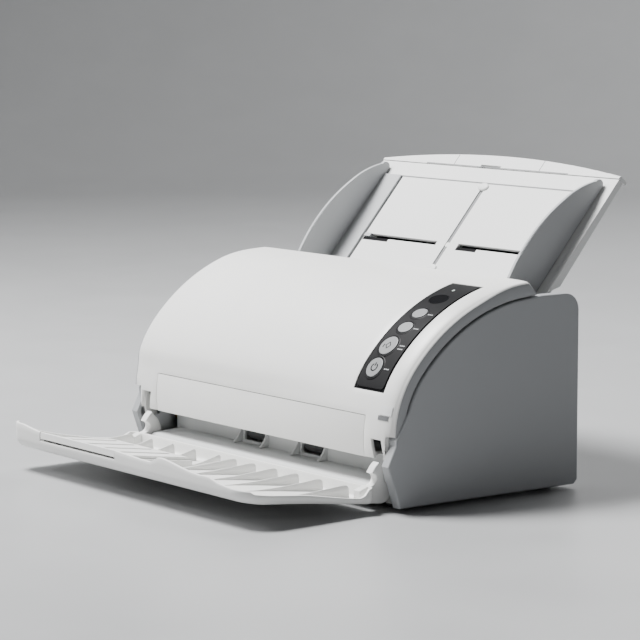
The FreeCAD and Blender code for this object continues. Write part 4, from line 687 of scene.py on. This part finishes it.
def on_chute(points):
    """Points given across, up the slope and out of the paper surface, put in the body's frame."""
    x, up, out = np.asarray(points, float).reshape(-1, 3).T
    return np.stack([x, FOOT[0] + up * math.cos(LEAN) - out * math.sin(LEAN),
                     FOOT[1] + up * math.sin(LEAN) + out * math.cos(LEAN)], 1)


def slab(x, up, out):
    """A closed plate in the chute's frame between two values of each coordinate."""
    square = ((x[0], up[0]), (x[1], up[0]), (x[1], up[1]), (x[0], up[1]))
    faces = [[3, 2, 1, 0], [4, 5, 6, 7], [0, 1, 5, 4], [1, 2, 6, 5], [2, 3, 7, 6], [3, 0, 4, 7]]
    return on_chute([(i, j, k) for k in out for i, j in square]), faces


def dome(up, wide, tall, height):
    """A low oval boss on the middle line: rings of height h * sqrt(1 - r^4) over a short straight skirt."""
    r = np.array([1.0, 0.98, 0.92, 0.8, 0.6, 0.3])
    turn = np.linspace(0, 2 * math.pi, 33)[:-1]
    lift = np.concatenate([[-0.6], height * (0.25 + 0.75 * np.sqrt(1 - r ** 4))])
    r = np.concatenate([[1.0], r])
    loops = np.stack([wide * r[:, None] * np.cos(turn), up + tall * r[:, None] * np.sin(turn),
                      np.broadcast_to(lift[:, None], (len(r), len(turn)))], -1)
    points, faces = tube(loops)
    return on_chute(points), faces


def build_chute_details():
    """Grey lines on the head; on the plate, grey strips that paint the shade in the middle groove and the
    shadow under the ridge, and two long lines at x = ±96; the bosses of the middle groove; and black sheets
    behind the slots with black strips beside them, painted shade.
    """
    # Painted shade: the strip in the middle groove and the strip under the ridge stand for the shade there.
    plate_lines_and_shade = [slab((-1.7, 1.7), (-35.5, 36.5), GROOVE_SHADE_OUT), slab((-100, 100), (40.6, 41.5), (-0.05, 0.1))]
    plate_lines_and_shade += [slab((x - 0.5, x + 0.5), (-69.5, 41.0), (-0.88, -0.3)) for x in (-96, 96)]
    points, faces = join(*plate_lines_and_shade)
    piece("chute_lines_and_shade", points, faces, "chute", LINE_AND_SHADE_GREY)
    seams = [slab((x - 0.3, x + 0.3), (54.8, 64.2), HEAD_OUT) for x in (-47, 47)]
    points, faces = join(*seams, slab((-78, 78), (54.6, 55.3), (0.55, 0.7)))
    piece("head_lines", points, faces, "chute_head", LINE_AND_SHADE_GREY)
    points, faces = join(*[dome(up, **BOSS) for up in BOSSES])
    piece("groove_bosses", points, faces, "chute", CHUTE_GREY, replaces=["groove_caps"])
    # Painted shade: black sheets behind the slots and black strips at the surface beside them darken the
    # slots.
    shade_sheets = [slab(x, (-18, -11), SLOT_OUT) for x in ((-98, -10), (10, 98))]
    shadow_strips = [slab(x, (-18.6, -16.0), SHADOW_STRIP_OUT) for x in ((-95, -66), (12, 34))]
    points, faces = join(*shade_sheets, *shadow_strips)
    piece("slot_painted_shade", points, faces, "chute", GAP_AND_SHADE_BLACK)


# ------------------------------------------------------------------ marks and rings on the control panel
KEYS = {"power": (90.5, 7.2, 7.2), "scan": (103.8, 7.6, 7.6), "send": (115.0, 6.4, 4.9),
        "function": (123.3, 6.4, 4.9)}                 # height, half width and half length of each key
KEY_X, ROUND_KEYS, ROUND_SHIFT = 116.2, ("power", "scan"), -1.5
RING = [(1.9, -0.2), (1.75, 0.2), (1.35, 0.42), (0.9, 0.42), (0.6, 0.2), (0.5, -0.5)]
RING_STEPS, INK_THICK = 48, 0.12
MARK_LIFT, DASH_LIFT = 0.97, 0.3
DASHES = (("power", 9.6, (0.0,)), ("scan", 10.2, (1.4, -1.4)), ("send", 8.2, (0.0,)),
          ("function", 8.2, (0.0,)))                   # where they start beside each key, and their rows


def key_points(name, points):
    """Points given across, up the slope and out from a key's centre, put in the body's frame."""
    slope = slope_at(KEYS[name][0])
    (y, z), _ = skin_line(slope)
    a = math.radians(slope)
    x = KEY_X + ROUND_SHIFT if name in ROUND_KEYS else KEY_X
    u, v, w = np.asarray(points, float).reshape(-1, 3).T
    return np.stack([x + u, y + v * math.cos(a) - w * math.sin(a), z + v * math.sin(a) + w * math.cos(a)], 1)


def key_ring(name):
    """The raised ring round a key: a small rounded section swept round the key's ellipse."""
    _, wide, tall = KEYS[name]
    a = np.linspace(0, 2 * math.pi, RING_STEPS + 1)[:-1, None]
    away, height = np.transpose(RING)
    count = len(RING)
    rings = np.stack([(wide + away) * np.cos(a), (tall + away) * np.sin(a),
                      np.broadcast_to(height, (RING_STEPS, count))], -1)
    grid = lattice(RING_STEPS, count, wrap=True)
    last = lattice(2, count, wrap=True)
    last = np.where(last < count, last + (RING_STEPS - 1) * count, last - count)
    return key_points(name, rings), grid.tolist() + last.tolist()


def stroke(name, line, width, lift, closed=False):
    """A flat printed line: a ribbon of even width along a line of points, with a small thickness."""
    line = np.asarray(line, float)
    tangent = np.roll(line, -1, 0) - np.roll(line, 1, 0) if closed else np.gradient(line, axis=0)
    tangent /= np.linalg.norm(tangent, axis=1)[:, None]
    side = np.stack([-tangent[:, 1], tangent[:, 0]], 1) * width / 2
    top, low = np.full(len(line), lift), np.full(len(line), lift - INK_THICK)
    loops = np.stack([np.column_stack([line - side, low]), np.column_stack([line + side, low]),
                      np.column_stack([line + side, top]), np.column_stack([line - side, top])], 1)
    if closed:
        loops = np.concatenate([loops, loops[:1]])
    points, faces = tube(loops, caps=not closed)
    return key_points(name, points), faces


def build_panel_marks():
    """Rings round the keys, a power mark, a start mark, and short plain dashes beside the keys."""
    for name in KEYS:
        points, faces = key_ring(name)
        piece(name + "_ring", points, faces, "cover", PANEL)
    a = np.radians(np.linspace(-235, 55, 25))
    arc = 2.7 * np.stack([np.cos(a), np.sin(a)], 1)
    bar = [(0, 0.9), (0, 2.0), (0, 3.4)]
    points, faces = join(stroke("power", arc, 0.95, MARK_LIFT), stroke("power", bar, 0.95, MARK_LIFT))
    piece("power_mark", points, faces, "power_key", INK)
    leaf, stem = [(-2.2, 0), (0, 2.6), (2.2, 0), (0, -2.6)], [(-4.0, 0.6), (-4.0, 0), (-4.0, -2.2)]
    points, faces = join(stroke("scan", leaf, 0.8, MARK_LIFT, closed=True),
                         stroke("scan", stem, 0.8, MARK_LIFT))
    piece("scan_mark", points, faces, "scan_key", INK)
    dashes = []
    for name, across, rows in DASHES:
        for up in rows:
            for start in (across, across + 1.75, across + 3.5):
                line = [(start, up), (start + 0.65, up + 0.1), (start + 1.3, up)]
                dashes.append(stroke(name, line, 0.75, DASH_LIFT))
    points, faces = join(*dashes)
    piece("panel_dashes", points, faces, "cover", LEGEND)


# ------------------------------------------------------------------ floor and backdrop
FLOOR_FLAT, FLOOR_BEND, BACKDROP_TOP, STAGE_STEPS = 2.6, 1.0, 3.6, 96


def build_stage():
    """A pale floor that runs into a round backdrop: a profile of radius and height turned about the Z axis.

    The profile is flat to 2.6 m, a quarter circle of 1 m, then upright to 3.6 m.
    """
    a = np.radians(np.linspace(-90, 0, 13))
    bend = np.stack([FLOOR_FLAT + FLOOR_BEND * np.cos(a), FLOOR_BEND + FLOOR_BEND * np.sin(a)], 1)
    top = [(FLOOR_FLAT + FLOOR_BEND, BACKDROP_TOP)]
    profile = np.concatenate([[(0.01, 0.0), (0.5, 0.0), (1.4, 0.0)], bend, top])
    turn = np.linspace(0, 2 * math.pi, STAGE_STEPS + 1)[:-1]
    radius, height = profile.T[..., None]
    points = np.stack([radius * np.cos(turn), radius * np.sin(turn),
                       np.broadcast_to(height, (len(profile), STAGE_STEPS))], -1).reshape(-1, 3)
    faces = lattice(len(profile), STAGE_STEPS, wrap=True)[:, ::-1].tolist() + [list(range(STAGE_STEPS))]
    data = bpy.data.meshes.new("floor")
    data.from_pydata(points, [], faces)
    data.update()
    data.polygons.foreach_set("use_smooth", np.ones(len(data.polygons), bool))
    data.materials.append(moulded("floor_pale", (0.40, 0.405, 0.41), 0.35, grain=300.0, depth=0.0))
    floor = bpy.data.objects.new("floor", data)
    bpy.context.scene.collection.objects.link(floor)


# ------------------------------------------------------------------ the whole picture
SOFTENED = ("stacker_extension", "lower_guide", "exit_apron", "chute_plate", "chute_back_cover",
            "chute_extension", "left_side_guide", "right_side_guide", "rear_cover", "base_pan",
            "left_side_panel", "right_side_panel")

build_tray()
build_cover()
build_chute_details()
build_panel_marks()
for node in SOFTENED:
    soften(node)

place_camera()
light_the_table()
build_stage()
